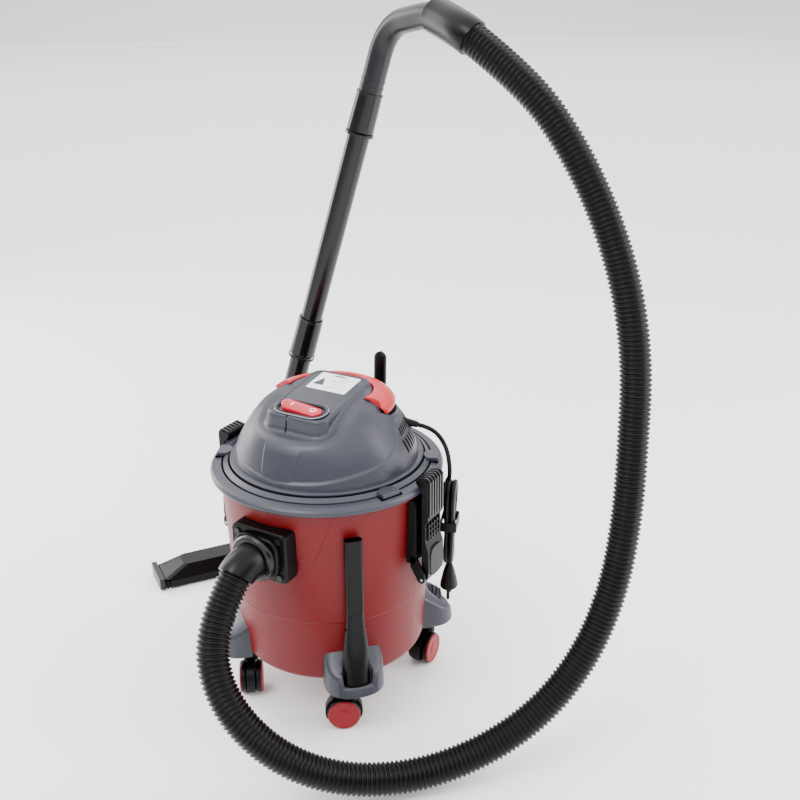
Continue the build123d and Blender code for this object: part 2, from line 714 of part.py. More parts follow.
# ---- wand ---------------------------------------------------------------------------
WAND_SIDE = WAND_DIR.cross(Vector(0, 0, 1)).normalized()
WAND = Plane(origin=WAND_BASE, x_dir=WAND_SIDE, z_dir=WAND_DIR)
WAND_PROFILE = Plane(origin=WAND_BASE, x_dir=WAND_SIDE, z_dir=WAND_SIDE.cross(WAND_DIR))
WAND_AXIS = Axis(WAND_BASE, WAND_DIR)
WAND_BORE_R = WAND_R - WAND_WALL
JOINT_LOW = 380.0           # along the wand: where the lower tube's sleeve begins
JOINT_TOP = 448.0           # and where it ends
SLEEVE_TOP = 752.0          # where the upper tube's sleeve begins

with BuildPart() as wand_lower:
    with BuildSketch(WAND_PROFILE):
        with BuildLine():
            Polyline((WAND_BORE_R, 4), (WAND_R, 4), (WAND_R, JOINT_LOW), (20.5, JOINT_LOW + 8),
                     (20, JOINT_TOP - 2), (19, JOINT_TOP), (WAND_R, JOINT_TOP), (WAND_R, JOINT_LOW + 14),
                     (WAND_BORE_R, JOINT_LOW + 10), close=True)
        make_face()
    revolve(axis=WAND_AXIS)
finish(wand_lower, "wand_lower")

with BuildPart() as wand_upper:
    with BuildSketch(WAND_PROFILE):
        with BuildLine():
            Polyline((WAND_BORE_R, JOINT_LOW + 16), (WAND_R, JOINT_LOW + 16), (WAND_R, SLEEVE_TOP),
                     (20.5, SLEEVE_TOP + 6), (19.2, WAND_LENGTH), (17.5, WAND_LENGTH),
                     (17.5, SLEEVE_TOP + 24), (WAND_BORE_R, SLEEVE_TOP + 22), close=True)
        make_face()
    revolve(axis=WAND_AXIS)
finish(wand_upper, "wand_upper")

with BuildPart() as handle_tube:
    with BuildLine() as handle_path:
        FilletPolyline(*HANDLE_ROUTE, radius=HANDLE_BENDS)
    with BuildSketch(Plane(origin=handle_path.line @ 0, z_dir=handle_path.line % 0)):
        Circle(17.5)
        Circle(15.5, mode=Mode.SUBTRACT)
    sweep()
finish(handle_tube, "handle_tube")

with BuildPart() as hose_cuff_handle:
    with BuildLine() as cuff_path:
        Bezier((64, 204.2, 950), (88, 193, 942), HOSE_START - HOSE_START_DIR * 22, HOSE_START)
    with BuildSketch(Plane(origin=cuff_path.line @ 0, z_dir=cuff_path.line % 0)):
        Circle(24.5)
    sweep()
    with BuildLine() as bore_path:
        FilletPolyline(*HANDLE_ROUTE, radius=HANDLE_BENDS)
    with BuildSketch(Plane(origin=bore_path.line @ 0, z_dir=bore_path.line % 0)):
        Circle(17.5)
    sweep(mode=Mode.SUBTRACT)
finish(hose_cuff_handle, "hose_cuff_handle")

# ---- floor tool ---------------------------------------------------------------------
floor_tool_way = (cos(radians(FLOOR_TOOL_TURN)), sin(radians(FLOOR_TOOL_TURN)), 0)
FLOOR_TOOL = Plane(origin=FLOOR_TOOL_MID, x_dir=floor_tool_way, z_dir=(0, 0, 1))
LONG, WIDE, TALL = FLOOR_TOOL_SIZE
TILT_MID = FLOOR_TOOL.from_local_coords(Vector(14, -44, 24))
TILT_DIR = FLOOR_TOOL.x_dir
TILT = Plane(origin=TILT_MID, x_dir=TILT_DIR.cross(Vector(0, 0, 1)), z_dir=TILT_DIR)
BARREL_R = 11.0
BARREL_HALF = 26.0

with BuildPart() as floor_tool_neck:
    with BuildSketch(TILT):
        Circle(BARREL_R)
    extrude(amount=BARREL_HALF, both=True)
    with BuildSketch(Plane(origin=TILT_MID, z_dir=WAND_BASE + WAND_DIR * 12 - TILT_MID)):
        Circle(9)
    with BuildSketch(WAND.offset(14)):
        Circle(19)
    loft()
    with BuildSketch(WAND.offset(14)):
        Circle(20)
    extrude(amount=38)
    with BuildSketch(WAND.offset(4)):
        Circle(WAND_R)
    extrude(amount=60, mode=Mode.SUBTRACT)
    with BuildSketch(TILT):
        Circle(4 + SHAFT_GAP)
    extrude(amount=40, both=True, mode=Mode.SUBTRACT)
finish(floor_tool_neck, "floor_tool_neck")

with BuildPart() as floor_tool_body:
    with BuildSketch(FLOOR_TOOL.offset(4)):
        RectangleRounded(LONG, WIDE, 10)
    extrude(amount=12)
    with BuildSketch(FLOOR_TOOL.offset(16)):
        RectangleRounded(LONG, WIDE, 10)
    with BuildSketch(FLOOR_TOOL.offset(TALL)):
        with Locations((0, -4)):
            RectangleRounded(LONG - 90, WIDE - 28, 10)
    loft()
    for end in (-1, 1):
        with BuildSketch(TILT.offset(end * (BARREL_HALF + 5))):
            SlotCenterToCenter(28, 18, rotation=0)
        extrude(amount=4.4, both=True)
    with BuildSketch(TILT):
        Circle(4)
    extrude(amount=BARREL_HALF + 8, both=True)
    with BuildSketch(TILT):
        Circle(BARREL_R + 1)
        Circle(4, mode=Mode.SUBTRACT)
    extrude(amount=BARREL_HALF + 0.5, both=True, mode=Mode.SUBTRACT)
    with BuildSketch(FLOOR_TOOL.offset(-1)):
        Rectangle(LONG - 40, WIDE - 34)
    extrude(amount=19, mode=Mode.SUBTRACT)
    for end in (-1, 1):
        with BuildSketch(FLOOR_TOOL.offset(-1)):
            with Locations((end * (LONG / 2 - 13), -WIDE / 2 + 12)):
                Rectangle(14, 26)
        extrude(amount=20, mode=Mode.SUBTRACT)
finish(floor_tool_body, "floor_tool_body")
print("floor tool solids", len(floor_tool_body.part.solids()))

with BuildPart() as floor_tool_strip:
    for side in (-1, 1):
        with BuildSketch(FLOOR_TOOL.offset(0)):
            with Locations((0, side * (WIDE / 2 - 8))):
                Rectangle(LONG - 60, 5)
        extrude(amount=4)
finish(floor_tool_strip, "floor_tool_strip")

ROLLER_R = 8.0
with BuildPart() as floor_tool_rollers:
    roller = Plane(origin=FLOOR_TOOL.from_local_coords(Vector(0, -WIDE / 2 + 12, ROLLER_R)),
                   x_dir=TILT_DIR.cross(Vector(0, 0, 1)), z_dir=TILT_DIR)
    for end in (-1, 1):
        with BuildSketch(roller.offset(end * (LONG / 2 - 13))):
            Circle(ROLLER_R)
        extrude(amount=6, both=True)
finish(floor_tool_rollers, "floor_tool_rollers")

# ---- crevice tool -------------------------------------------------------------------
TOOL_TAPER = ((141, 24, 36), (158, 22, 33), (176, 18.5, 28.5), (192, 15.5, 25.6), (206, 14.5, 24.7))
with BuildPart() as crevice_tool:
    with BuildSketch(around(TOOL_ANGLE, TOOL_R, SOCKET_FLOOR_Z + 0.3)):
        Ellipse(12.1, 18.1)
    extrude(amount=60)
    for z, deep, wide in TOOL_TAPER:
        with BuildSketch(around(TOOL_ANGLE, TOOL_R, z)):
            Ellipse(deep / 2, wide / 2)
    loft()
    with BuildSketch(around(TOOL_ANGLE, TOOL_R, 204.9)):
        RectangleRounded(13.5, 24, 5)
    extrude(amount=112)
    with BuildSketch(around(TOOL_ANGLE, TOOL_R, 60)):
        Ellipse(8, 14)
    extrude(amount=122, mode=Mode.SUBTRACT)
    with BuildSketch(around(TOOL_ANGLE, TOOL_R, 180)):
        RectangleRounded(9.5, 20, 3)
    extrude(amount=160, mode=Mode.SUBTRACT)
finish(crevice_tool, "crevice_tool")

# ---- power cord ---------------------------------------------------------------------
cord_radii = arc_radii(CORD_ROUTE)
with BuildPart() as power_cord:
    with BuildLine() as cord_path:
        FilletPolyline(*CORD_ROUTE, radius=cord_radii)
    with BuildSketch(Plane(origin=cord_path.line @ 0, z_dir=cord_path.line % 0)):
        Circle(CORD_R)
    sweep()
finish(power_cord, "power_cord")
cord_area = 3.14159265 * CORD_R ** 2
print("cord length", round(cord_path.wire().length), "radii", [round(r) for r in cord_radii])
print("cord volume over section x length", round(power_cord.part.volume / cord_area / cord_path.wire().length, 4))

CORD_START = cord_path.line @ 0
CORD_START_DIR = cord_path.line % 0
RELIEF_LENGTH = 34.0
with BuildPart() as strain_relief:
    with BuildSketch(Plane(origin=CORD_START - CORD_START_DIR * RELIEF_LENGTH, z_dir=CORD_START_DIR)):
        Circle(7)
    with BuildSketch(Plane(origin=CORD_START, z_dir=CORD_START_DIR)):
        Circle(4.4)
    loft()
    add(dome_solid.part, mode=Mode.SUBTRACT)
finish(strain_relief, "strain_relief")

HANK_TALL = 140.0
HANK_DEEP = 22.0
HANK_WIDE = 48.0
TIE_TALL = 14.0
WAIST_WIDE = HANK_WIDE - 12     # the tie draws the hank in at its middle
HANK_TOP = cord_path.line @ 1
HANK_MID = HANK_TOP - Vector(0, 0, HANK_TALL / 2)
hank_out = Vector(HANK_TOP.X, HANK_TOP.Y, 0).normalized()
HANK = Plane(origin=HANK_MID, x_dir=Vector(0, 0, 1), z_dir=hank_out)
with BuildPart() as cord_hank:
    with BuildSketch(HANK):
        SlotOverall(HANK_TALL, HANK_WIDE)
    extrude(amount=HANK_DEEP / 2, both=True)
    with BuildSketch(HANK):
        Rectangle(TIE_TALL + 3, HANK_WIDE + 10)
        Rectangle(TIE_TALL + 3, WAIST_WIDE, mode=Mode.SUBTRACT)
    extrude(amount=HANK_DEEP, both=True, mode=Mode.SUBTRACT)
finish(cord_hank, "cord_hank")

with BuildPart() as cord_tie:
    with BuildSketch(HANK):
        Rectangle(TIE_TALL, WAIST_WIDE + 4)
    extrude(amount=HANK_DEEP / 2 + 1, both=True)
    with BuildSketch(HANK):
        Rectangle(TIE_TALL + 6, WAIST_WIDE)
    extrude(amount=HANK_DEEP / 2, both=True, mode=Mode.SUBTRACT)
finish(cord_tie, "cord_tie")

PLUG = Plane(origin=HANK_MID - Vector(0, 0, HANK_TALL / 2), x_dir=hank_out, z_dir=(0, 0, -1))
PLUG_NECK = 14.0
PLUG_LENGTH = 34.0
PIN_HALF_SPACING = 9.5
with BuildPart() as power_plug:
    with BuildSketch(PLUG):
        Circle(5)
    with BuildSketch(PLUG.offset(PLUG_NECK)):
        Ellipse(9, 12)
    with BuildSketch(PLUG.offset(PLUG_LENGTH)):
        Ellipse(13, 18)
    loft()
    with BuildSketch(PLUG.offset(PLUG_LENGTH)):
        with Locations((0, -PIN_HALF_SPACING), (0, PIN_HALF_SPACING)):
            Circle(2.4)
    extrude(amount=19)
finish(power_plug, "power_plug")
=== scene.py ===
import json
import math

import bmesh
import bpy
import numpy as np
from mathutils import Matrix, Vector


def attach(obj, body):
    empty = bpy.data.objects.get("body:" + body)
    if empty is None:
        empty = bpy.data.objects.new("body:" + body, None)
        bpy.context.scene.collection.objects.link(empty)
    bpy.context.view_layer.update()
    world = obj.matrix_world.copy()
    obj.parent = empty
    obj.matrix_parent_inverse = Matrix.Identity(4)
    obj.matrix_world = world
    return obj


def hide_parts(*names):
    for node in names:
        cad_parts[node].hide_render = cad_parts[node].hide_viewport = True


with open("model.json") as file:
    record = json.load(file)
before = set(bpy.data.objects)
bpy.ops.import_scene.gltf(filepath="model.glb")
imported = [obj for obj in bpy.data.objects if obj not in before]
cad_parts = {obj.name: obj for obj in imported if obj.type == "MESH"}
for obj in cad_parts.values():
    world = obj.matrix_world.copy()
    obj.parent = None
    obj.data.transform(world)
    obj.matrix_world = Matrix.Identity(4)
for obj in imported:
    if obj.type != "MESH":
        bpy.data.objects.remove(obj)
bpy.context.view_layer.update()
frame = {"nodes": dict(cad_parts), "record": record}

MM = 0.001


# ---- materials ------------------------------------------------------------------------
def srgb(code):
    """An sRGB hex value as linear RGBA."""
    parts = [int(code[i:i + 2], 16) / 255 for i in (1, 3, 5)]
    linear = [p / 12.92 if p <= 0.04045 else ((p + 0.055) / 1.055) ** 2.4 for p in parts]
    return (*linear, 1.0)


def node(tree, kind, settings=None, links=None):
    """Add a node, give it its settings and link its inputs."""
    new = tree.nodes.new(kind)
    for key, value in (settings or {}).items():
        if key in new.inputs:
            new.inputs[key].default_value = value
        else:
            setattr(new, key, value)
    for key, source in (links or {}).items():
        tree.links.new(source, new.inputs[key])
    return new


BLOTCH_MM = 60.0
HANDLING_MM = 18.0
METAL_STREAK_DEPTH_MM = 0.01


def moulded(name, colour, shade, roughness, grain_mm, grain_depth, specular=0.4, coat=0.0):
    """Moulded plastic: one colour with a faint drift, a spark-eroded grain and light handling marks.

    A real mould grain is 0.1 to 0.3 mm across. It is drawn coarser here, so that it shows at all.
    """
    material = bpy.data.materials.new(name)
    material.use_nodes = True
    tree = material.node_tree
    tree.nodes.clear()
    place = node(tree, "ShaderNodeTexCoord").outputs["Object"]
    drift = node(tree, "ShaderNodeTexNoise", {"Scale": 1 / (BLOTCH_MM * MM), "Detail": 3.0},
                 {"Vector": place})
    colours = node(tree, "ShaderNodeMix", {"data_type": "RGBA"}, {"Factor": drift.outputs["Fac"]})
    colours.inputs[6].default_value = srgb(colour)
    colours.inputs[7].default_value = srgb(shade)
    grain = node(tree, "ShaderNodeTexNoise", {"Scale": 1 / (grain_mm * MM), "Detail": 2.0},
                 {"Vector": place})
    marks = node(tree, "ShaderNodeTexNoise",
                 {"Scale": 1 / (HANDLING_MM * MM), "Detail": 6.0, "Roughness": 0.7}, {"Vector": place})
    gloss = node(tree, "ShaderNodeMapRange", {"To Min": roughness - 0.05, "To Max": roughness + 0.07},
                 {"Value": marks.outputs["Fac"]})
    bump = node(tree, "ShaderNodeBump", {"Strength": 1.0, "Distance": grain_depth * MM},
                {"Height": grain.outputs["Fac"]})
    skin = node(tree, "ShaderNodeBsdfPrincipled",
                {"IOR": 1.5, "Specular IOR Level": specular, "Coat Weight": coat, "Coat Roughness": 0.12},
                {"Base Color": colours.outputs[2], "Roughness": gloss.outputs[0], "Normal": bump.outputs[0]})
    node(tree, "ShaderNodeOutputMaterial", None, {"Surface": skin.outputs[0]})
    return material


def metal(name, colour, roughness, streak_mm):
    """Bare metal: drawn or ground streaks in its roughness and a faint bump along one axis."""
    material = bpy.data.materials.new(name)
    material.use_nodes = True
    tree = material.node_tree
    tree.nodes.clear()
    place = node(tree, "ShaderNodeTexCoord").outputs["Object"]
    stretch = node(tree, "ShaderNodeMapping", {"Scale": (1.0, 1.0, 0.12)}, {"Vector": place})
    streaks = node(tree, "ShaderNodeTexNoise", {"Scale": 1 / (streak_mm * MM), "Detail": 4.0},
                   {"Vector": stretch.outputs[0]})
    gloss = node(tree, "ShaderNodeMapRange", {"To Min": roughness - 0.08, "To Max": roughness + 0.12},
                 {"Value": streaks.outputs["Fac"]})
    bump = node(tree, "ShaderNodeBump", {"Strength": 1.0, "Distance": METAL_STREAK_DEPTH_MM * MM},
                {"Height": streaks.outputs["Fac"]})
    skin = node(tree, "ShaderNodeBsdfPrincipled", {"Base Color": srgb(colour), "Metallic": 1.0},
                {"Roughness": gloss.outputs[0], "Normal": bump.outputs[0]})
    node(tree, "ShaderNodeOutputMaterial", None, {"Surface": skin.outputs[0]})
    return material



# Blow-moulded polypropylene: a deep red with a soft, broad sheen.
RED_TANK = moulded("red_polypropylene_tank", "#620104", "#690206", 0.4, 1.1, 0.05, specular=0.28)
# Injection-moulded ABS: a brighter red, with a tighter highlight than the drum's.
RED_TRIM = moulded("red_abs_trim", "#BC2026", "#B41C23", 0.34, 0.8, 0.04)
# Polished ABS: the only glossy red, so that the switch stands out.
RED_SWITCH = moulded("red_gloss_abs_switch", "#C00A2A", "#B40826", 0.2, 1.5, 0.01, coat=0.4)
# Moulded wheel cap: a dull dark red that floor dust has taken the shine off.
RED_WHEEL = moulded("red_moulded_wheel", "#7E0313", "#860516", 0.38, 0.9, 0.03, specular=0.3)
# Grained ABS: a cool grey whose texture spreads each highlight.
GREY = moulded("grey_abs_grained", "#2C2D37", "#30313B", 0.36, 0.7, 0.05)
# Moulded polypropylene: near black, with little reflection.
BLACK = moulded("black_polypropylene", "#020203", "#040405", 0.34, 0.8, 0.04, specular=0.17)
# Polished ABS: the same black with long clear reflections.
BLACK_GLOSS = moulded("black_abs_polished", "#020203", "#040405", 0.2, 1.2, 0.015, specular=0.35)
# Satin ABS: the clip's black painted a little lighter, a painted highlight standing in for the light on the
# ribs, so that they show against the black behind them. The inlet screws share it.
BLACK_LIGHTENED = moulded("black_abs_lightened", "#0C0D10", "#101114", 0.28, 0.8, 0.03)
# Moulded ABS of the handle: a dark grey with a silky highlight along the tube.
DARK_GREY = moulded("dark_grey_abs_handle", "#101015", "#131318", 0.32, 0.8, 0.03, specular=0.32)
# Extruded EVA: matt black, with a thin bright line on each rib.
HOSE_BLACK = moulded("black_eva_hose", "#010102", "#030304", 0.32, 1.4, 0.03, specular=0.17)
# Extruded PVC: black with a waxy surface.
CORD_BLACK = moulded("black_pvc_cord", "#030304", "#050507", 0.4, 0.6, 0.02, specular=0.18)
# Painted shade: near black laid in narrow gaps, grooves, slots and wells, where hardly any light comes back.
# The index mark on the cover uses it too.
SHADE_AND_MARK_BLACK = moulded("dark_shadow_gap", "#010102", "#020203", 0.8, 1.0, 0.02, specular=0.04)
# Pleated cellulose paper: cream, fibrous and fully matt.
FILTER_PAPER = moulded("pleated_filter_paper", "#D9D2BE", "#CFC7B0", 0.85, 2.0, 0.12)
# Nylon bristle: dark and rough, with a deep grain in place of single hairs.
BRISTLE = moulded("nylon_bristle", "#1B1B1D", "#242427", 0.6, 0.5, 0.2)
# Pad-printed ink: an even off-white.
MARK_WHITE = moulded("white_printed_mark", "#F1EEEC", "#E9E6E4", 0.4, 1.0, 0.01)
# A painted highlight: a thin pale line along the switch rim's edge, where the light catches the grey.
BEZEL_HIGHLIGHT = moulded("painted_bezel_highlight", "#A9ABB2", "#9D9FA7", 0.3, 0.8, 0.01)
# Polyester film: smooth and bright, the lightest surface here.
LABEL_FILM = moulded("white_polyester_label", "#F4F4F8", "#ECECF2", 0.3, 2.0, 0.005)
# Printed inks on the film: one dark, one faint.
LABEL_INK = moulded("grey_printed_ink", "#34353A", "#3A3B40", 0.5, 1.0, 0.005)
LABEL_FAINT = moulded("pale_printed_ink", "#B3B5BD", "#AFB1B9", 0.5, 1.0, 0.005)
# Zinc plate on drawn wire: small bright glints.
STEEL = metal("zinc_plated_steel", "#B9BCC0", 0.3, 1.5)
# Cast aluminium: a soft grey metal sheen.
ALUMINIUM = metal("cast_aluminium", "#A4A6AA", 0.42, 2.5)
# Stacked iron laminations: dark metal with close streaks.
IRON = metal("motor_lamination_iron", "#5B5C60", 0.5, 0.6)


# ---- camera, light and floor ------------------------------------------------------------
AZIMUTH = math.radians(30)
ELEVATION = math.radians(22.083)
ROLL = math.radians(-0.502)
CAMERA_AT = (0.7705, -1.1256, 1.0029)
FOCAL_MM = 47.36
SENSOR_MM = 36
back = Vector((math.sin(AZIMUTH) * math.cos(ELEVATION), -math.cos(AZIMUTH) * math.cos(ELEVATION),
               math.sin(ELEVATION)))
level = Vector((math.cos(AZIMUTH), math.sin(AZIMUTH), 0))
upright = back.cross(level)
right = level * math.cos(ROLL) + upright * math.sin(ROLL)
up = upright * math.cos(ROLL) - level * math.sin(ROLL)
camera_data = bpy.data.cameras.new("camera")
camera_data.lens = FOCAL_MM
camera_data.sensor_width = SENSOR_MM
camera = bpy.data.objects.new("camera", camera_data)
camera.matrix_world = Matrix.Translation(CAMERA_AT) @ Matrix((right, up, back)).transposed().to_4x4()
bpy.context.scene.collection.objects.link(camera)
bpy.context.scene.camera = camera


def lamp(name, place, aim, size, power):
    """A soft square lamp that looks at a point."""
    data = bpy.data.lights.new(name, "AREA")
    data.shape = "RECTANGLE"
    data.size, data.size_y = size
    data.energy = power
    light = bpy.data.objects.new(name, data)
    light.location = place
    light.rotation_euler = (Vector(aim) - Vector(place)).to_track_quat("-Z", "Y").to_euler()
    bpy.context.scene.collection.objects.link(light)


# Each lamp: its place and aim in metres, its sides in metres, its power in watts.
lamp("overhead", (-1.0, 3.0, 7.0), (-1.0, 3.0, 0), (26, 28), 6000)
lamp("left_bank", (-2.3, 0.2, 1.1), (0, 0, 0.3), (0.9, 2.0), 48)
lamp("right_bank", (2.2, 1.1, 1.1), (0, 0, 0.35), (0.9, 2.0), 62)
lamp("front_key", (-0.5, -2.3, 3.4), (0, 0, 0.4), (1.8, 1.2), 90)

world = bpy.data.worlds.new("studio")
world.use_nodes = True
world.node_tree.nodes["Background"].inputs["Color"].default_value = (1, 1, 1, 1)
world.node_tree.nodes["Background"].inputs["Strength"].default_value = 0.42
bpy.context.scene.world = world

floor_material = bpy.data.materials.new("white_sweep")
floor_material.use_nodes = True
floor_skin = floor_material.node_tree.nodes["Principled BSDF"]
floor_skin.inputs["Base Color"].default_value = srgb("#F7F5F6")
floor_skin.inputs["Roughness"].default_value = 0.55
FLOOR_RADIUS = 16.0
SWEEP_RADIUS = 10.0
SWEEP_END = math.radians(80)
SWEEP_ROWS = 20
SWEEP_TURNS = 96


def sweep_mesh():
    """A round floor whose edge curves up into a wall, so that no horizon shows."""
    bends = np.linspace(0, SWEEP_END, SWEEP_ROWS)
    profile = [(FLOOR_RADIUS + SWEEP_RADIUS * math.sin(t), SWEEP_RADIUS * (1 - math.cos(t))) for t in bends]
    turns = [2 * math.pi * k / SWEEP_TURNS for k in range(SWEEP_TURNS)]
    points = [(r * math.cos(a), r * math.sin(a), z) for r, z in profile for a in turns]
    faces = [tuple(range(SWEEP_TURNS))]
    for row in range(SWEEP_ROWS - 1):
        for k in range(SWEEP_TURNS):
            here = row * SWEEP_TURNS + k
            beside = row * SWEEP_TURNS + (k + 1) % SWEEP_TURNS
            faces.append((here, beside, beside + SWEEP_TURNS, here + SWEEP_TURNS))
    mesh = bpy.data.meshes.new("floor")
    mesh.from_pydata(points, [], faces)
    for face in mesh.polygons[1:]:
        face.use_smooth = True
    return mesh


floor_mesh = sweep_mesh()
floor_mesh.materials.append(floor_material)
floor = bpy.data.objects.new("floor", floor_mesh)
bpy.context.scene.collection.objects.link(floor)


# ---- mesh helpers -----------------------------------------------------------------------
def piece(name, points, faces, material, body, *nodes, slot=None, sharp=35.0, bevel=0.0, scale=MM):
    """Link a mesh given in millimetres, shade it, and say what it rides on and stands for."""
    mesh = bpy.data.meshes.new(name)
    mesh.from_pydata([tuple(np.asarray(p, float) * scale) for p in points], [], [tuple(f) for f in faces])
    mesh.validate()
    work = bmesh.new()
    work.from_mesh(mesh)
    bmesh.ops.recalc_face_normals(work, faces=work.faces)
    work.to_mesh(mesh)
    work.free()
    mesh.shade_smooth()
    mesh.set_sharp_from_angle(angle=math.radians(sharp))
    mesh.materials.append(material)
    thing = bpy.data.objects.new(name, mesh)
    bpy.context.scene.collection.objects.link(thing)
    if bevel:
        edge = thing.modifiers.new("edges", "BEVEL")
        edge.width = bevel * MM
        edge.segments = 3
        edge.limit_method = "ANGLE"
        edge.angle_limit = math.radians(32)
        edge.harden_normals = True
    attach(thing, body)
    if nodes:
        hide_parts(*nodes)
    return thing


def grid_faces(rows, columns, wrap_columns=True, wrap_rows=False):
    """The quads of a grid of points, row by row."""
    faces = []
    for i in range(rows if wrap_rows else rows - 1):
        for j in range(columns if wrap_columns else columns - 1):
            a, b = i % rows, (i + 1) % rows
            c = (j + 1) % columns
            faces.append((a * columns + j, a * columns + c, b * columns + c, b * columns + j))
    return faces


def soften(outline, radius, steps=4, closed=True):
    """An outline with its corners rounded by arcs of about that radius."""
    points = [np.array(p, float) for p in outline]
    count = len(points)
    result = []
    for i, here in enumerate(points):
        if not closed and i in (0, count - 1):
            result.append(here)
            continue
        before, after = points[i - 1], points[(i + 1) % count]
        r = radius[i] if isinstance(radius, (list, tuple)) else radius
        one, two = before - here, after - here
        one_length, two_length = np.linalg.norm(one), np.linalg.norm(two)
        one, two = one / one_length, two / two_length
        half = math.acos(max(-1, min(1, float(one @ two)))) / 2
        reach = min(r / math.tan(half), 0.48 * one_length, 0.48 * two_length) if half < 1.55 else 0
        if reach < 1e-6:
            result.append(here)
            continue
        for k in range(steps + 1):
            t = k / steps
            start, end = here + one * reach, here + two * reach
            result.append((1 - t) ** 2 * start + 2 * t * (1 - t) * here + t * t * end)
    return result


def lathe(profile, turns=96, closed=True):
    """The points and faces of a profile (radius, height) turned about Z."""
    angles = np.linspace(0, 2 * math.pi, turns, endpoint=False)
    points = [(r * math.cos(a), r * math.sin(a), z) for r, z in profile for a in angles]
    return points, grid_faces(len(profile), turns, True, closed)


def placed(points, origin, x_dir, z_dir):
    """Points moved from their own axes to an origin and two directions."""
    z_dir = np.array(z_dir, float) / np.linalg.norm(z_dir)
    x_dir = np.array(x_dir, float) - z_dir * (np.array(x_dir, float) @ z_dir)
    x_dir /= np.linalg.norm(x_dir)
    y_dir = np.cross(z_dir, x_dir)
    points = np.asarray(points, float)
    return np.array(origin, float) + points @ np.array([x_dir, y_dir, z_dir])


def route_frames(path):
    """Tangents and two steady normals along a path of points."""
    path = np.asarray(path, float)
    tangents = np.gradient(path, axis=0)
    tangents /= np.linalg.norm(tangents, axis=1)[:, None]
    first = np.cross(tangents[0], (0.3, 0.9, 0.2))
    first /= np.linalg.norm(first)
    ones = [first]
    for t in tangents[1:]:
        n = ones[-1] - t * (ones[-1] @ t)
        ones.append(n / np.linalg.norm(n))
    ones = np.array(ones)
    return tangents, ones, np.cross(tangents, ones)


def swept(path, radii, turns=32):
    """A round tube along a path, with a radius at each point."""
    path = np.asarray(path, float)
    _, ones, twos = route_frames(path)
    points = []
    for p, n, b, r in zip(path, ones, twos, radii):
        for k in range(turns):
            a = 2 * math.pi * k / turns
            points.append(p + r * (math.cos(a) * n + math.sin(a) * b))
    return points, grid_faces(len(path), turns)


def nurbs(name, route, scale=MM):
    """A smooth open spline with a route's points as its control points."""
    data = bpy.data.curves.new(name, "CURVE")
    data.dimensions = "3D"
    spline = data.splines.new("NURBS")
    spline.points.add(len(route) - 1)
    for point, place in zip(spline.points, route):
        point.co = (place[0] * scale, place[1] * scale, place[2] * scale, 1)
    spline.order_u = 3
    spline.use_endpoint_u = True
    spline.resolution_u = 24
    return data


def followed(route):
    """Points read along a route's spline, in millimetres."""
    thing = bpy.data.objects.new("route", nurbs("route", route))
    bpy.context.scene.collection.objects.link(thing)
    bpy.context.view_layer.update()
    mesh = bpy.data.meshes.new_from_object(thing)
    points = np.array([v.co for v in mesh.vertices]) / MM
    bpy.data.objects.remove(thing)
    bpy.data.meshes.remove(mesh)
    return points


def evenly(path, step):
    """A path's points again, a step apart."""
    path = np.asarray(path, float)
    along = np.concatenate([[0], np.cumsum(np.linalg.norm(np.diff(path, axis=0), axis=1))])
    stops = np.linspace(0, along[-1], max(2, int(round(along[-1] / step)) + 1))
    return np.array([[np.interp(s, along, path[:, k]) for k in range(3)] for s in stops])


def local(plane, points):
    """Points given in a plane's own axes: (origin, x direction, z direction)."""
    return placed(points, *plane)


def prism(name, outline, plane, low, high, material, body, *nodes, bevel=0.0, slot=None, sharp=35.0):
    """A flat outline carried along its plane's normal."""
    count = len(outline)
    points = [(u, v, low) for u, v in outline] + [(u, v, high) for u, v in outline]
    faces = [tuple(range(count)), tuple(range(count, 2 * count))]
    faces += [(i, (i + 1) % count, (i + 1) % count + count, i + count) for i in range(count)]
    return piece(name, local(plane, points), faces, material, body, *nodes,
                 bevel=bevel, slot=slot, sharp=sharp)


def slot_outline(length, width, steps=10):
    """A rectangle with half round ends, along the first axis."""
    r, reach = width / 2, length / 2 - width / 2
    bends = np.linspace(-math.pi / 2, math.pi / 2, steps)
    right = [(reach + r * math.cos(a), r * math.sin(a)) for a in bends]
    return right + [(-u, -v) for u, v in right]


def box_outline(width, height, corner=0.0, steps=4):
    """A rectangle with rounded corners."""
    u, v = width / 2, height / 2
    corners = [(-u, -v), (u, -v), (u, v), (-u, v)]
    return [tuple(p) for p in soften(corners, corner, steps)] if corner else corners


# ---- hose ------------------------------------------------------------------------------
HOSE_ROUTE = [
    (137, 167, 924), (219, 163, 872), (283, 162, 798), (333, 165, 711), (369, 165, 617),
    (391, 157, 520), (400, 137, 421), (409, 108, 324), (410, 69, 232), (394, 17, 150),
    (356, -45, 84), (298, -113, 42), (226, -182, 25), (151, -243, 40), (80, -284, 88),
    (22, -296, 160), (-8, -268, 232), (-4, -214, 281)]
HOSE_R = 21.5
HOSE_CORE_R = 19.0
HOSE_TURNS = 40
RIB_PITCH = 6.4
RIB_STEPS = 8


def rib_radius(step):
    """The hose's radius a number of steps along: flat-topped ribs with narrow valleys."""
    rise = min(1.0, max(0.0, 0.5 + 0.95 * math.cos(2 * math.pi * (step / RIB_STEPS))))
    return HOSE_CORE_R + (HOSE_R - HOSE_CORE_R) * rise


hose_path = evenly(followed(HOSE_ROUTE), RIB_PITCH / RIB_STEPS)
points, faces = swept(hose_path, [rib_radius(i) for i in range(len(hose_path))], HOSE_TURNS)
hose = piece("hose", points, faces, HOSE_BLACK, "root", "hose", slot="hose_plastic", sharp=75)

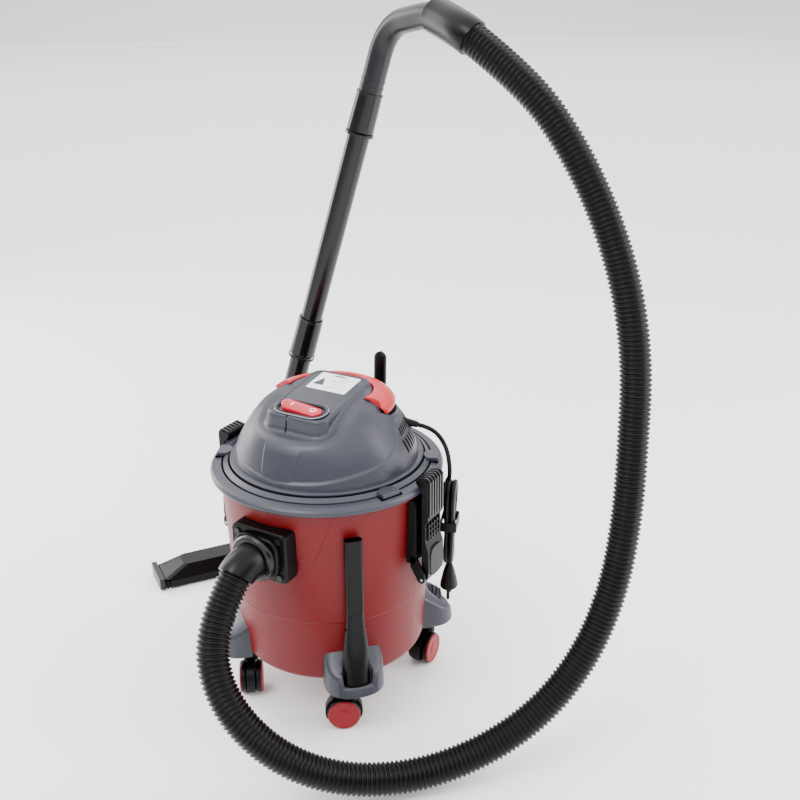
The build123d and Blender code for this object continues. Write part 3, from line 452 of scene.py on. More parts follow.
# ---- head cover --------------------------------------------------------------------------
# Height, half width across and half width front to back.
DOME_SECTIONS = [(355, 128.5, 128), (371, 128, 127), (385, 126.5, 122), (403, 122, 115),
                 (418, 114, 108.5), (432, 104.5, 100), (446, 93, 89), (457, 79, 78),
                 (467, 62, 64), (473, 44, 48), (478, 20, 22), (490, 4, 4)]
DOME_MID = (0, 0, 385)
DOME_BASE_Z = 374.5
PANEL_AT = (0, -57, 458.6)
PANEL_RISE = math.tan(math.radians(8.5))
POD_HALF = (48, 65.5)
POD_MID_Y = -13.5
POD_CORNER = 16
# Height of the step round the dome's foot, against degrees from the front.
LEDGE = ((0, 30, 48, 66, 76, 85, 92, 100, 180),
         (380, 384, 390, 396, 402, 412, 425, 433, 433))
LEDGE_PROUD = 2.6
BIB_PROUD = 1.2
# Height at which the dome's top is cut, against y.
SHELF = ((-125, -103, -92, -80, -65, -50, -24, 5, 40, 60),
         (424, 429, 430.5, 433, 439, 447, 457, 463, 470, 476))


def smoothed_sections():
    """The dome's half widths against height, with the kinks between its sections worn off."""
    heights = np.arange(350, 495, 0.5)
    table = np.array(DOME_SECTIONS, float)
    window = np.ones(17) / 17
    curves = []
    for column in (1, 2):
        curve = np.interp(heights, table[:, 0], table[:, column])
        for _ in range(2):
            curve = np.convolve(np.pad(curve, 8, mode="edge"), window, mode="valid")
        curves.append(curve)
    return heights, curves


SECTION_HEIGHTS, (HALF_X, HALF_Y) = smoothed_sections()


def ramp(value, low, high):
    """0 below low, 1 above high, with a smooth rise between."""
    t = np.clip((value - low) / (high - low), 0, 1)
    return t * t * (3 - 2 * t)


def join(a, b, reach):
    """The lower of two distances, blended over a reach: a union with a soft valley."""
    share = np.clip(0.5 + 0.5 * (b - a) / reach, 0, 1)
    return b * (1 - share) + a * share - reach * share * (1 - share)


def trim(a, b, reach):
    """The higher of two distances, blended over a reach: a cut with a soft edge."""
    return -join(-a, -b, reach)


def rounded_box(u, v, half_u, half_v, corner):
    """Distance to a rounded rectangle in its own plane."""
    du, dv = np.abs(u) - half_u + corner, np.abs(v) - half_v + corner
    return np.hypot(np.maximum(du, 0), np.maximum(dv, 0)) + np.minimum(np.maximum(du, dv), 0) - corner


def pod_outline(x, y, below=0.0):
    """Distance in plan to the edge of the raised pod, which widens a little below its top."""
    return rounded_box(x, y - POD_MID_Y, POD_HALF[0], POD_HALF[1], POD_CORNER) - 0.12 * below


def head_distance(x, y, z):
    """Roughly the distance from a point to the head cover's outer surface, negative inside."""
    half_x = np.interp(z, SECTION_HEIGHTS, HALF_X)
    half_y = np.interp(z, SECTION_HEIGHTS, HALF_Y)
    dome = (np.hypot(x / half_x, y / half_y) - 1) * (half_x + half_y) / 2
    from_front = np.degrees(np.abs(np.arctan2(x, -y)))
    ledge = np.interp(from_front, *LEDGE)
    dome = dome - LEDGE_PROUD * (1 - ramp(z, ledge - 1.3, ledge + 1.3))
    bib = rounded_box(x, z - 405, np.interp(z, (380, 425), (25, 29)), 24, 10)
    dome = dome - BIB_PROUD * (1 - ramp(bib, -1.0, 1.0)) * (1 - ramp(z, 414, 428)) * (y < 0)
    shelf = np.interp(y, *SHELF)
    body = trim(dome, (z - shelf) * 0.9, 7)
    panel = (z - PANEL_AT[2] - PANEL_RISE * (y - PANEL_AT[1])) * 0.989
    outline = pod_outline(x, y, np.maximum(-panel, 0))
    pod = trim(outline, panel + 1.1 * ramp(-outline, 4.5, 6.5), 4)
    return join(body, pod, 6)


def head_height(x, y, low=385.0, high=482.0):
    """The height of the head cover's outer surface above a point in plan."""
    low, high = np.full(np.shape(x), low), np.full(np.shape(x), high)
    for _ in range(26):
        middle = (low + high) / 2
        inside = head_distance(x, y, middle) < 0
        low, high = np.where(inside, middle, low), np.where(inside, high, middle)
    return (low + high) / 2


def head_radius(angle, z):
    """The radius of the head cover's outer surface at an angle and height."""
    low, high = np.full(np.shape(angle), 60.0), np.full(np.shape(angle), 150.0)
    for _ in range(26):
        middle = (low + high) / 2
        inside = head_distance(middle * np.cos(angle), middle * np.sin(angle), z) < 0
        low, high = np.where(inside, middle, low), np.where(inside, high, middle)
    return (low + high) / 2


def head_cover_surface():
    """The cover's outer skin as rays from its middle, then its flange at the foot and a point that closes
    its top.
    """
    columns, rows = 600, 150
    angles = np.linspace(0, 2 * math.pi, columns, endpoint=False)
    lowest = math.atan2(DOME_BASE_Z - DOME_MID[2], 128)
    rise = np.linspace(lowest, math.pi / 2 - 0.004, rows)[:, None]
    along_x, along_y = np.cos(rise) * np.cos(angles), np.cos(rise) * np.sin(angles)
    ways = np.stack(np.broadcast_arrays(along_x, along_y, np.sin(rise)), axis=-1)
    low, high = np.full(ways.shape[:2], 40.0), np.full(ways.shape[:2], 160.0)
    for _ in range(26):
        middle = (low + high) / 2
        spot = ways * middle[..., None] + DOME_MID
        inside = head_distance(spot[..., 0], spot[..., 1], spot[..., 2]) < 0
        low, high = np.where(inside, middle, low), np.where(inside, high, middle)
    skin = ways * low[..., None] + DOME_MID
    rim = []
    for r, z in ((133, 371), (136.2, 371), (137, 371.8), (137, 373.7), (136.2, 374.5)):
        rim.append(np.stack([r * np.cos(angles), r * np.sin(angles), np.full(columns, z)], axis=-1))
    points = np.concatenate([np.array(rim), skin]).reshape(-1, 3)
    faces = grid_faces(rows + len(rim), columns)
    top = len(points)
    points = np.vstack([points, [0, 0, float(head_height(np.array(0.0), np.array(0.0)))]])
    start = top - columns
    faces += [(start + j, start + (j + 1) % columns, top) for j in range(columns)]
    return points, faces


points, faces = head_cover_surface()
piece("head_cover", points, faces, GREY, "head", "head_cover", slot="grey_plastic", sharp=50)


def draped(rows, lift):
    """A patch of points (x, y) by rows laid on the head cover, raised by lift."""
    plan = np.array(rows, float)
    z = head_height(plan[..., 0], plan[..., 1]) + lift
    return np.concatenate([plan, z[..., None]], axis=-1)


# ---- carry handle ------------------------------------------------------------------------
HANDLE_MID = (0, 10)
HANDLE_PROFILE = [(63, 446), (62, 462), (62.6, 467.4), (71, 466), (81, 461.6), (89, 455.6),
                  (93.4, 449.6), (92.4, 444), (86, 441)]
# How far round each end of the handle reaches, in degrees against radius: a notch, then a lobe.
HANDLE_TIP = ((60, 64, 70, 76, 80, 85, 89, 92, 95), (-3.5, -4.5, -3, 4, 2.5, -1.5, -3.5, 0, 6))


def handle_arc(r, steps, grow=0.0):
    """Points in plan along one radius of the handle, from tip to tip."""
    tip = math.radians(np.interp(r, *HANDLE_TIP)) - grow / r
    angles = np.linspace(tip, math.pi - tip, steps)
    return [(HANDLE_MID[0] + r * math.cos(a), HANDLE_MID[1] + r * math.sin(a)) for a in angles]


def capped(grid):
    """A closed tube from a grid of rows round and columns along."""
    rows, columns = grid.shape[:2]
    faces = grid_faces(rows, columns, wrap_columns=False, wrap_rows=True)
    faces.append(tuple(i * columns for i in range(rows)))
    faces.append(tuple(i * columns + columns - 1 for i in reversed(range(rows))))
    return grid.reshape(-1, 3), faces


handle_rows = [[(x, y, z) for x, y in handle_arc(r, 120)] for r, z in soften(HANDLE_PROFILE, 2.4, 3)]
points, faces = capped(np.array(handle_rows))
piece("carry_handle", points, faces, RED_TRIM, "head", "carry_handle", slot="red_trim", sharp=50)

# A near-black sheet laid on the cover round the handle's foot: painted shadow in the gap between handle and
# cover.
HANDLE_SHADE_ROWS, HANDLE_SHADE_STEPS = 24, 160
HANDLE_SHADE_GROW = 1.3
handle_shade_sheet = draped([handle_arc(r, HANDLE_SHADE_STEPS, HANDLE_SHADE_GROW) for r in np.linspace(60.8, 95, HANDLE_SHADE_ROWS)], 0.3)
piece("handle_painted_shade", handle_shade_sheet.reshape(-1, 3), grid_faces(HANDLE_SHADE_ROWS, HANDLE_SHADE_STEPS, False), SHADE_AND_MARK_BLACK, "head",
      slot="black_plastic")

# ---- vents and small marks on the cover --------------------------------------------------
def slanted_slot(angle, low, high, lean, width):
    """A vent slot on the cover's side: a narrow near-black strip, painted shade in place of the open slot,
    that leans towards the rear.
    """
    rows = []
    for t in np.linspace(0, 1, 9):
        z = low + (high - low) * t
        half = width / 2 * math.sqrt(max(0.0, 1 - (2 * t - 1) ** 8))
        middle = angle + lean * t
        for side in (-1, 0, 1):
            rows.append((middle + side * math.degrees(half / 118), z))
    rows = np.array(rows)
    angles = np.radians(rows[:, 0])
    r = head_radius(angles, rows[:, 1]) + 0.25
    return np.stack([r * np.cos(angles), r * np.sin(angles), rows[:, 1]], axis=-1)


def vent_group(name, mirror):
    """Two tiers of slots, short above long, on one side."""
    points, faces = [], []
    tiers = [(9, 6.0, 3.6, 417.5, 428.0, 2.2, 3.2), (8, 6.5, 4.1, 393.0, 414.0, -2.4, 4.0)]
    for count, first, pitch, low, high, lean, width in tiers:
        for i in range(count):
            rise = i * 0.5
            slot = slanted_slot(first + pitch * i, low + rise, high + rise, lean, width)
            slot[:, 0] *= mirror
            start = len(points)
            points += list(slot)
            faces += [tuple(start + k for k in f) for f in grid_faces(9, 3, False)]
    piece(name, points, faces, SHADE_AND_MARK_BLACK, "head", slot="black_plastic")


vent_group("vents_right", 1)
vent_group("vents_left", -1)


# ---- switch, label and index mark --------------------------------------------------------
SLOPE = math.radians(8.5)
PANEL_NORMAL = (0, -math.sin(SLOPE), math.cos(SLOPE))
PANEL = (PANEL_AT, (1, 0, 0), PANEL_NORMAL)
ROCKER_TILT = math.radians(6.5)
ROCKER_PIVOT = (0, PANEL_AT[1] + 5 * math.sin(SLOPE), PANEL_AT[2] - 5 * math.cos(SLOPE))
ROCKER_LONG, ROCKER_WIDE = 62, 22
SLOT_STEPS = 16


def tilted(plane, tilt):
    """A plane turned about its own second axis, so that its left end rises."""
    origin, x_dir, z_dir = plane
    x_dir, z_dir = np.array(x_dir, float), np.array(z_dir, float)
    c, s = math.cos(tilt), math.sin(tilt)
    return (origin, x_dir * c - z_dir * s, z_dir * c + x_dir * s)


ROCKER = tilted((ROCKER_PIVOT, (1, 0, 0), PANEL_NORMAL), ROCKER_TILT)


def rocker_top(u, v):
    """The height of the rocker's crowned top above its pivot."""
    return 9.4 + 2.2 * (abs(u) / 31) ** 2 - 1.6 * (v / 11) ** 2


def rocker_switch():
    """The rocker as rings: a straight skirt, an eased edge and a crowned top."""
    rings = [(0.97, -2.0, False), (1.0, -1.0, False), (1.0, -3.2, True), (0.985, -1.5, True),
             (0.95, -0.5, True), (0.86, 0, True), (0.6, 0, True), (0.3, 0, True), (0.02, 0, True)]
    points = []
    for share, drop, crowned in rings:
        for u, v in slot_outline(ROCKER_LONG * share, ROCKER_WIDE * share, SLOT_STEPS):
            points.append((u, v, rocker_top(u, v) + drop if crowned else drop))
    return local(ROCKER, points), grid_faces(len(rings), 2 * SLOT_STEPS)


points, faces = rocker_switch()
piece("rocker_switch", points, faces, RED_SWITCH, "rocker", "rocker_switch", slot="red_switch", sharp=60)
def on_rocker(outline, at, lift=0.12):
    """A flat mark laid on the rocker's crown, a distance along it."""
    return [(u + at, v, rocker_top(u + at, v) + lift) for u, v in outline]


bar = on_rocker([(-0.8, -3.6), (0.8, -3.6), (0.8, 0), (0.8, 3.6), (-0.8, 3.6), (-0.8, 0)], -15)
piece("mark_on", local(ROCKER, bar), [(0, 1, 2, 3, 4, 5)], MARK_WHITE, "rocker", slot="label")
ring_angles = np.linspace(0, 2 * math.pi, 28, endpoint=False)
ring = []
for r in (3.1, 4.5):
    ring += on_rocker([(r * math.cos(a), r * math.sin(a)) for a in ring_angles], 18)
piece("mark_off", local(ROCKER, ring), grid_faces(2, 28), MARK_WHITE, "rocker", slot="label")

bezel_rings = [(37.9, 15.9, 0.3), (41.0, 19.5, 0.4), (41.0, 19.5, 1.5), (40.2, 18.7, 1.9), (38.4, 16.9, 1.9),
               (37.6, 16.1, 1.5), (37.4, 15.9, -6.0)]
bezel_points = [(u, v, z) for half_u, half_v, z in bezel_rings
                for u, v in slot_outline(2 * half_u, 2 * half_v, SLOT_STEPS)]
piece("switch_rim", local(PANEL, bezel_points), grid_faces(len(bezel_rings), 2 * SLOT_STEPS), GREY, "head",
      slot="grey_plastic", sharp=40)
# A thin pale ring on the rim's outer edge: a painted highlight.
glint = []
for half_u, half_v, z in ((41.1, 19.6, 1.62), (40.5, 19.0, 1.97)):
    glint += [(u, v, z) for u, v in slot_outline(2 * half_u, 2 * half_v, SLOT_STEPS)]
piece("switch_rim_highlight", local(PANEL, glint), grid_faces(2, 2 * SLOT_STEPS), BEZEL_HIGHLIGHT, "head",
      slot="grey_plastic")
# A near-black sheet at the bottom of the well round the rocker: painted shade.
prism("switch_well", slot_outline(75, 32, SLOT_STEPS), PANEL, -7.5, -6.8, SHADE_AND_MARK_BLACK, "head", slot="black_plastic")

index_mark = draped([[(-9.6 + dx, y) for dx in (-1.0, 0, 1.0)] for y in np.linspace(-84.5, -77.0, 9)], 0.35)
piece("index_mark", index_mark.reshape(-1, 3), grid_faces(9, 3, False), SHADE_AND_MARK_BLACK, "head", slot="black_plastic")

LABEL_AT_Y = 80
LABEL_BASE, LABEL_TOP = -0.9, -0.35


def on_label(outline, u=0, v=0):
    """An outline moved to a place on the label."""
    return [(u + a, v + LABEL_AT_Y + b) for a, b in outline]


prism("blank_label", on_label(box_outline(64, 46, 2.5)), PANEL, LABEL_BASE, LABEL_TOP, LABEL_FILM,
      "head", "blank_label", slot="label")
prism("label_block", on_label([(-28.5, -11), (-10.5, -11), (-19.5, 9)]), PANEL, LABEL_TOP, -0.25,
      LABEL_INK, "head", slot="label")
for k, (u, v, wide) in enumerate(((14, 12, 26), (12, 4, 30), (14, -4, 26), (10, -12, 34))):
    prism(f"label_line_{k}", on_label(box_outline(wide, 1.1), u, v), PANEL, LABEL_TOP, -0.3,
          LABEL_FAINT, "head", slot="label")

# ---- ring lugs ---------------------------------------------------------------------------
LUG_ANGLES = (27, -24, 153, 204)
LUG_R = 147.5
LUG_HALF = 13.8
LUG_BASE_Z, LUG_GAP_Z, LUG_TOP_Z = 360, 366.9, 372.0


def around(angle, r, z):
    """A plane facing up at an angle and radius, its first axis pointing outwards."""
    a = math.radians(angle)
    return ((r * math.cos(a), r * math.sin(a), z), (math.cos(a), math.sin(a), 0), (0, 0, 1))


def lug_outline():
    """An arch: a square outer end and a round inner one."""
    arch = [(10.5, -LUG_HALF), (10.5, LUG_HALF), (-2, LUG_HALF)]
    for a in np.linspace(math.pi / 2, 3 * math.pi / 2, 18)[1:-1]:
        arch.append((-2 + 8.5 * math.cos(a), LUG_HALF * math.sin(a)))
    return arch + [(-2, -LUG_HALF)]


def lug_gap_outline():
    """The arch again, a little larger all round, for the painted shade of the gap at its foot."""
    return [(u + (0.4 if u > 8 else -2.6 if u < -2 else 0), v * 1.2) for u, v in lug_outline()]


for k, angle in enumerate(LUG_ANGLES):
    plane = around(angle, LUG_R, 0)
    prism(f"lug_{k}", lug_outline(), plane, LUG_BASE_Z, LUG_TOP_Z, GREY, "head", bevel=1.6,
          slot="grey_plastic")
    # A near-black band at the lug's foot: painted shade in the gap.
    prism(f"lug_gap_{k}", lug_gap_outline(), plane, LUG_BASE_Z, LUG_GAP_Z, SHADE_AND_MARK_BLACK, "head",
          slot="black_plastic")

# ---- side clips --------------------------------------------------------------------------
# Sections seen from the front: distance out from the middle of the drum, and height.
LATCH_SECTION = [(166.6, 240), (166.6, 361), (158, 371.2), (158, 376), (172, 378.5), (176.5, 374),
                 (176.5, 318), (172.5, 312), (172.5, 284), (177, 270), (178, 240), (175.5, 226),
                 (164.5, 226)]
LATCH_RIB = [(159.5, 373.5), (159.5, 377.6), (171.8, 380.6), (174.4, 380.0), (178.4, 375.2),
             (178.4, 323.5), (176, 321)]
LATCH_Y = -2.5
LATCH_HALF = 22
RIB_HALF = 1.7
RIB_SPACING = 7
WINDOW_OUT, WINDOW_Z = 172.4, 298
PADDLE_OUT, PADDLE_Z = 177.2, 251


def clip_plane(side):
    """The plane of a clip's section on one side: outwards, then up."""
    return ((0, LATCH_Y, 0), (side, 0, 0), (0, -side, 0))


def clip_face(side, out):
    """The plane of a clip's outer face on one side: along the drum, then up."""
    return ((side * out, LATCH_Y, 0), (0, side, 0), (side, 0, 0))


def clip_part(name, outline, plane, low, high, body, *nodes, material=BLACK, bevel=0.0, sharp=35.0):
    """One black piece of a clip."""
    prism(name, outline, plane, low, high, material, body, *nodes,
          bevel=bevel, slot="black_plastic", sharp=sharp)


def latch(side, name):
    """A side clip: ribbed head, latticed window and a thumb paddle."""
    body = f"latch_{name}"
    across = clip_plane(side)
    clip_part(body, soften(LATCH_SECTION, 1.6, 3), across, -LATCH_HALF, LATCH_HALF, body, body,
              bevel=0.8, sharp=40)
    # The ribs carry the lightened black: a painted highlight on the clip's own plastic.
    for k in range(6):
        u = RIB_SPACING * (k - 2.5)
        clip_part(f"{body}_rib_{k}", soften(LATCH_RIB, 1.4, 3), across, u - RIB_HALF, u + RIB_HALF,
                  body, material=BLACK_LIGHTENED, bevel=0.5)
    window = clip_face(side, WINDOW_OUT)
    # A near-black field behind the lattice: painted shade inside the window.
    window_shade = [(u, v + WINDOW_Z) for u, v in box_outline(34, 25, 2)]
    clip_part(f"{body}_window", window_shade, window, -0.5, 0.25, body, material=SHADE_AND_MARK_BLACK)
    for k in range(5):
        upright = [(u - 15 + 7.5 * k, v + WINDOW_Z) for u, v in box_outline(2.2, 26)]
        clip_part(f"{body}_upright_{k}", upright, window, -0.5, 2.6, body, bevel=0.4)
    for k in range(3):
        crossbar = [(u, v + WINDOW_Z - 8 + 8 * k) for u, v in box_outline(36, 2.0)]
        clip_part(f"{body}_crossbar_{k}", crossbar, window, -0.5, 1.9, body, bevel=0.4)
    paddle = [(u, v + PADDLE_Z) for u, v in box_outline(36, 46, 15, 8)]
    clip_part(f"{body}_paddle", paddle, clip_face(side, PADDLE_OUT), -2.5, 1.6, body, bevel=1.8, sharp=40)


latch(1, "right")
latch(-1, "left")

# ---- casters -----------------------------------------------------------------------------
# Each foot: degrees round the drum, radius of its caster's stem, and the way the caster is turned.
PLACES = {"front_right": (-45, 128, -56), "front_left": (-135, 128, 35), "rear_right": (45, 150, 2),
          "rear_left": (135, 150, 160)}
CASTER_TRAIL = 13
WHEEL_R = 24
# Wheel sections: radius and distance from the caster's middle.
TYRE_PROFILE = [(2.6, 6.8), (21, 6.8), (23.4, 7.8), (24, 9.6), (24, 13.2), (23.2, 14.8), (2.6, 15.2)]
CAP_PROFILE = [(2.6, 14.2), (22.2, 14.2), (23.1, 14.8), (23.1, 15.6), (22.2, 16.6), (20.6, 17.0),
               (19.8, 16.7), (9.5, 16.2), (8.6, 16.7), (6.5, 17.1), (0.05, 17.2)]
def wheel_part(name, profile, material, hub, way, place, *nodes, slot):
    """A turned wheel part about a caster's axle, facing one way along it."""
    points, faces = lathe(soften(profile, 0.6, 2, closed=False), 72, closed=False)
    piece(name, placed(points, hub, (0, 0, 1), way), faces, material, f"wheels_{place}", *nodes,
          slot=slot, sharp=40)


def caster(place, angle, r, turn):
    """The twin wheels of a caster, with the axle between them."""
    a, t = math.radians(angle), math.radians(turn)
    axle_x, axle_y = math.cos(t), math.sin(t)
    hub = (r * math.cos(a) + CASTER_TRAIL * axle_y, r * math.sin(a) - CASTER_TRAIL * axle_x, WHEEL_R)
    for side, end in ((-1, "inner"), (1, "outer")):
        way = (side * axle_x, side * axle_y, 0)
        replaced = [f"caster_wheels_{place}"] if side == 1 else []
        wheel_part(f"caster_tyre_{place}_{end}", TYRE_PROFILE, BLACK, hub, way, place, slot="black_plastic")
        wheel_part(f"caster_cap_{place}_{end}", CAP_PROFILE, RED_WHEEL, hub, way, place, *replaced,
                   slot="red_wheel")
    points, faces = lathe([(2.5, -6.9), (2.5, 6.9)], 24, closed=False)
    points = placed(points, hub, (0, 0, 1), (axle_x, axle_y, 0))
    piece(f"caster_axle_{place}", points, faces, STEEL, f"wheels_{place}", slot="steel")


for place, (angle, r, turn) in PLACES.items():
    caster(place, angle, r, turn)

# ---- feet --------------------------------------------------------------------------------
FOOT_HALF = 42
FOOT_BOTTOM_Z = 77
FOOT_TOP_Z = 138
FOOT_LIP_Z = 92
FOOT_REACH = {"front": 177, "rear": 186}
SOCKET_R = 159
SOCKET_FLOOR_Z = 81
SOCKET_HALF = (13.0, 19.0)
TANK_SIDE_R = 137.0
PAD_PROFILE = [(0.05, 64), (16, 64), (17.5, 66), (19, 79)]


def foot(place, angle):
    """A foot: a rounded shoe whose top slopes from the tank to a low lip round its tool socket."""
    reach = FOOT_REACH[place.split("_")[0]]
    count = 144
    nose = 38.0
    ways = np.linspace(0, 2 * math.pi, count, endpoint=False)

    def outline(grow):
        """The shoe's edge about the socket's middle: straight sides, a round nose, cut off at the tank."""
        low, high = np.zeros(count), np.full(count, 90.0)
        for _ in range(30):
            d = (low + high) / 2
            r, v = SOCKET_R + d * np.cos(ways), d * np.sin(ways)
            ahead = np.maximum(r - (reach - nose), 0)
            shape = (np.abs(v) / (FOOT_HALF + grow)) ** 2.4 + (ahead / (nose + grow)) ** 2.4
            tank_edge = np.hypot(r, v) > TANK_SIDE_R - 2.0
            inside = (shape < 1) & tank_edge
            low, high = np.where(inside, d, low), np.where(inside, high, d)
        return SOCKET_R + low * np.cos(ways), low * np.sin(ways)

    def top(r, v):
        """The height of the shoe's top, with a way down into the socket from outside."""
        slope = FOOT_TOP_Z - 6 - (np.hypot(r, v) - 139) * 0.72
        slope = slope - 5 * (np.abs(v) / FOOT_HALF) ** 3
        slot_cut = ramp(SOCKET_HALF[1] + 1.5 - np.abs(v), -1.2, 1.2) * ramp(r - SOCKET_R, -1, 3)
        return np.maximum(slope * (1 - slot_cut) + FOOT_LIP_Z * slot_cut, FOOT_LIP_Z)

    rings = []
    for grow, z in ((-6, FOOT_BOTTOM_Z + 2), (-1.5, FOOT_BOTTOM_Z), (0, FOOT_BOTTOM_Z + 1.5)):
        r, v = outline(grow)
        rings.append((r, v, np.full(count, float(z))))
    r0, v0 = outline(-1.0)
    r1, v1 = outline(-5.0)
    rings.append((r0, v0, np.maximum(top(r1, v1) - 7.0, FOOT_BOTTOM_Z + 4)))
    r2, v2 = outline(-2.2)
    rings.append((r2, v2, np.maximum(top(r1, v1) - 2.5, FOOT_BOTTOM_Z + 7)))
    rings.append((r1, v1, top(r1, v1)))
    inner_r, inner_v = SOCKET_R + SOCKET_HALF[0] * np.cos(ways), SOCKET_HALF[1] * np.sin(ways)
    for share in (0.35, 0.7, 0.94):
        r, v = r1 + (inner_r - r1) * share, v1 + (inner_v - v1) * share
        rings.append((r, v, top(r, v)))
    rings.append((inner_r, inner_v, top(inner_r, inner_v) - 1.0))
    socket_floor = np.full(count, float(SOCKET_FLOOR_Z))
    rings.append((inner_r, inner_v, socket_floor))
    rings.append((SOCKET_R + (inner_r - SOCKET_R) * 0.02, inner_v * 0.02, socket_floor))
    a = math.radians(angle)
    points = [(r * math.cos(a) - v * math.sin(a), r * math.sin(a) + v * math.cos(a), z)
              for ring in rings for r, v, z in zip(*ring)]
    piece(f"foot_{place}", points, grid_faces(len(rings), count), GREY, "root", f"foot_{place}",
          slot="grey_plastic", sharp=38)


for place, (angle, r, turn) in PLACES.items():
    foot(place, angle)
    points, faces = lathe(soften(PAD_PROFILE, 1.5, 3, closed=False), 48, closed=False)
    points = np.array(points) + (r * math.cos(math.radians(angle)), r * math.sin(math.radians(angle)), 0)
    piece(f"caster_pad_{place}", points, faces, GREY, "root", slot="grey_plastic", sharp=40)

# ---- ring --------------------------------------------------------------------------------
# Radius, height and corner radius of each point of the ring's section.
RING_PROFILE = [(139, 354, 0.5), (139, 331, 0.5), (143, 331, 0.5), (143, 354, 0.5), (162.5, 354, 1),
                (165, 356, 2), (165, 360, 2.5), (162, 363.6, 3), (157, 365.2, 3), (149.4, 366.4, 0.6),
                (148.9, 363.6, 0.3), (147.2, 363.6, 0.3), (146.6, 366.9, 0.6), (139.5, 371.2, 2),
                (125, 371.2, 0.5), (125, 357, 0.5), (52, 357, 0.5), (52, 354, 0.5)]
ring_outline = [(r, z) for r, z, corner in RING_PROFILE]
ring_corners = [corner for r, z, corner in RING_PROFILE]
points, faces = lathe(soften(ring_outline, ring_corners, 3), 256)
piece("head_ring", points, faces, GREY, "head", "head_base", slot="grey_plastic", sharp=48)
# Near-black bands in the ring's groove and in the gap under the cover: painted shade.
points, faces = lathe([(149.15, 365.4), (148.9, 363.75), (147.2, 363.75), (146.9, 365.6)], 256, closed=False)
piece("ring_groove", points, faces, SHADE_AND_MARK_BLACK, "head", slot="black_plastic")
points, faces = lathe([(137.1, 371.6), (139.9, 371.6), (140.0, 371.2)], 256, closed=False)
piece("cover_gap", points, faces, SHADE_AND_MARK_BLACK, "head", slot="black_plastic")

# ---- raised panel on the tank's front ----------------------------------------------------
TANK_LOW, TANK_HIGH = (181, 143.1), (346, 151.0)
PANEL_EDGE_Z = (280, 335, 349)
PANEL_EDGE_ANGLE = (-63.7, -55.5, -53.5)
PANEL_PROUD = 1.6


def tank_front_panel():
    """A thin raised field with slanting ends round the inlet."""
    columns, rows = 61, 31
    points = []
    for i in range(rows):
        t = i / (rows - 1)
        z = PANEL_EDGE_Z[0] + (PANEL_EDGE_Z[-1] - 2.5 - PANEL_EDGE_Z[0]) * t
        half = 90 + float(np.interp(z, PANEL_EDGE_Z, PANEL_EDGE_ANGLE))
        for j in range(columns):
            u = 2 * j / (columns - 1) - 1
            edge = min(1.0, (1 - abs(u)) * half * 2.6 / 1.6, (z - PANEL_EDGE_Z[0]) / 1.6)
            lift = PANEL_PROUD * float(ramp(edge, -0.2, 1.0)) - 0.15
            r = np.interp(z, (TANK_LOW[0], TANK_HIGH[0]), (TANK_LOW[1], TANK_HIGH[1])) + lift
            a = math.radians(-90 + half * u)
            points.append((r * math.cos(a), r * math.sin(a), z))
    piece("tank_front_panel", points, grid_faces(rows, columns, False), RED_TANK, "root",
          slot="red_tank", sharp=60)


tank_front_panel()

# ---- inlet boss, clip brackets and cord hook ---------------------------------------------
INLET = ((0, 0, 292), (1, 0, 0), (0, -1, 0))
prism("inlet_boss", box_outline(70, 60, 22, 8), INLET, 166, 176, BLACK, "root", bevel=3.5,
      slot="black_plastic", sharp=40)
COLLAR_PROFILE = [(21.8, 176), (32, 176), (33.5, 178), (33.5, 182), (31, 185.6), (26.5, 186.6),
                  (21.8, 186.6)]
points, faces = lathe(soften(COLLAR_PROFILE, 1.2, 3), 96)
piece("inlet_collar", placed(points, *INLET), faces, BLACK_GLOSS, "root", slot="black_plastic", sharp=45)

BRACKET_SECTION = [(146, 250), (159, 250), (161.5, 256), (161.5, 338), (158, 346), (150, 346)]
EAR_SECTION = [(152, 262), (160, 262), (174, 236), (174.5, 226), (170, 221.5), (164, 224), (152, 246)]
BRACKET_HALF = 28
EAR_INNER = 23.5
for side, name in ((1, "right"), (-1, "left")):
    across = clip_plane(side)
    clip_part(f"latch_bracket_{name}", soften(BRACKET_SECTION, 2, 3), across, -BRACKET_HALF,
              BRACKET_HALF, "root", f"latch_bracket_{name}", bevel=1.2, sharp=40)
    for end in (-1, 1):
        low, high = sorted((end * EAR_INNER, end * BRACKET_HALF))
        place = "front" if end == -side else "rear"
        clip_part(f"latch_ear_{name}_{place}", soften(EAR_SECTION, 2.5, 3), across, low, high, "root",
                  bevel=0.8, sharp=40)

HOOK_LINE = [(0, 108, 391), (0, 124, 392), (0, 137, 395), (0, 146, 404), (0, 148.5, 420), (0, 149.5, 440),
             (0, 150.3, 458), (0, 151, 468), (0, 151.3, 474), (0, 151.4, 477)]
HOOK_HALF_WIDE, HOOK_HALF_THICK = 10, 5.2
HOOK_TIP = 10
HOOK_TURNS = 28


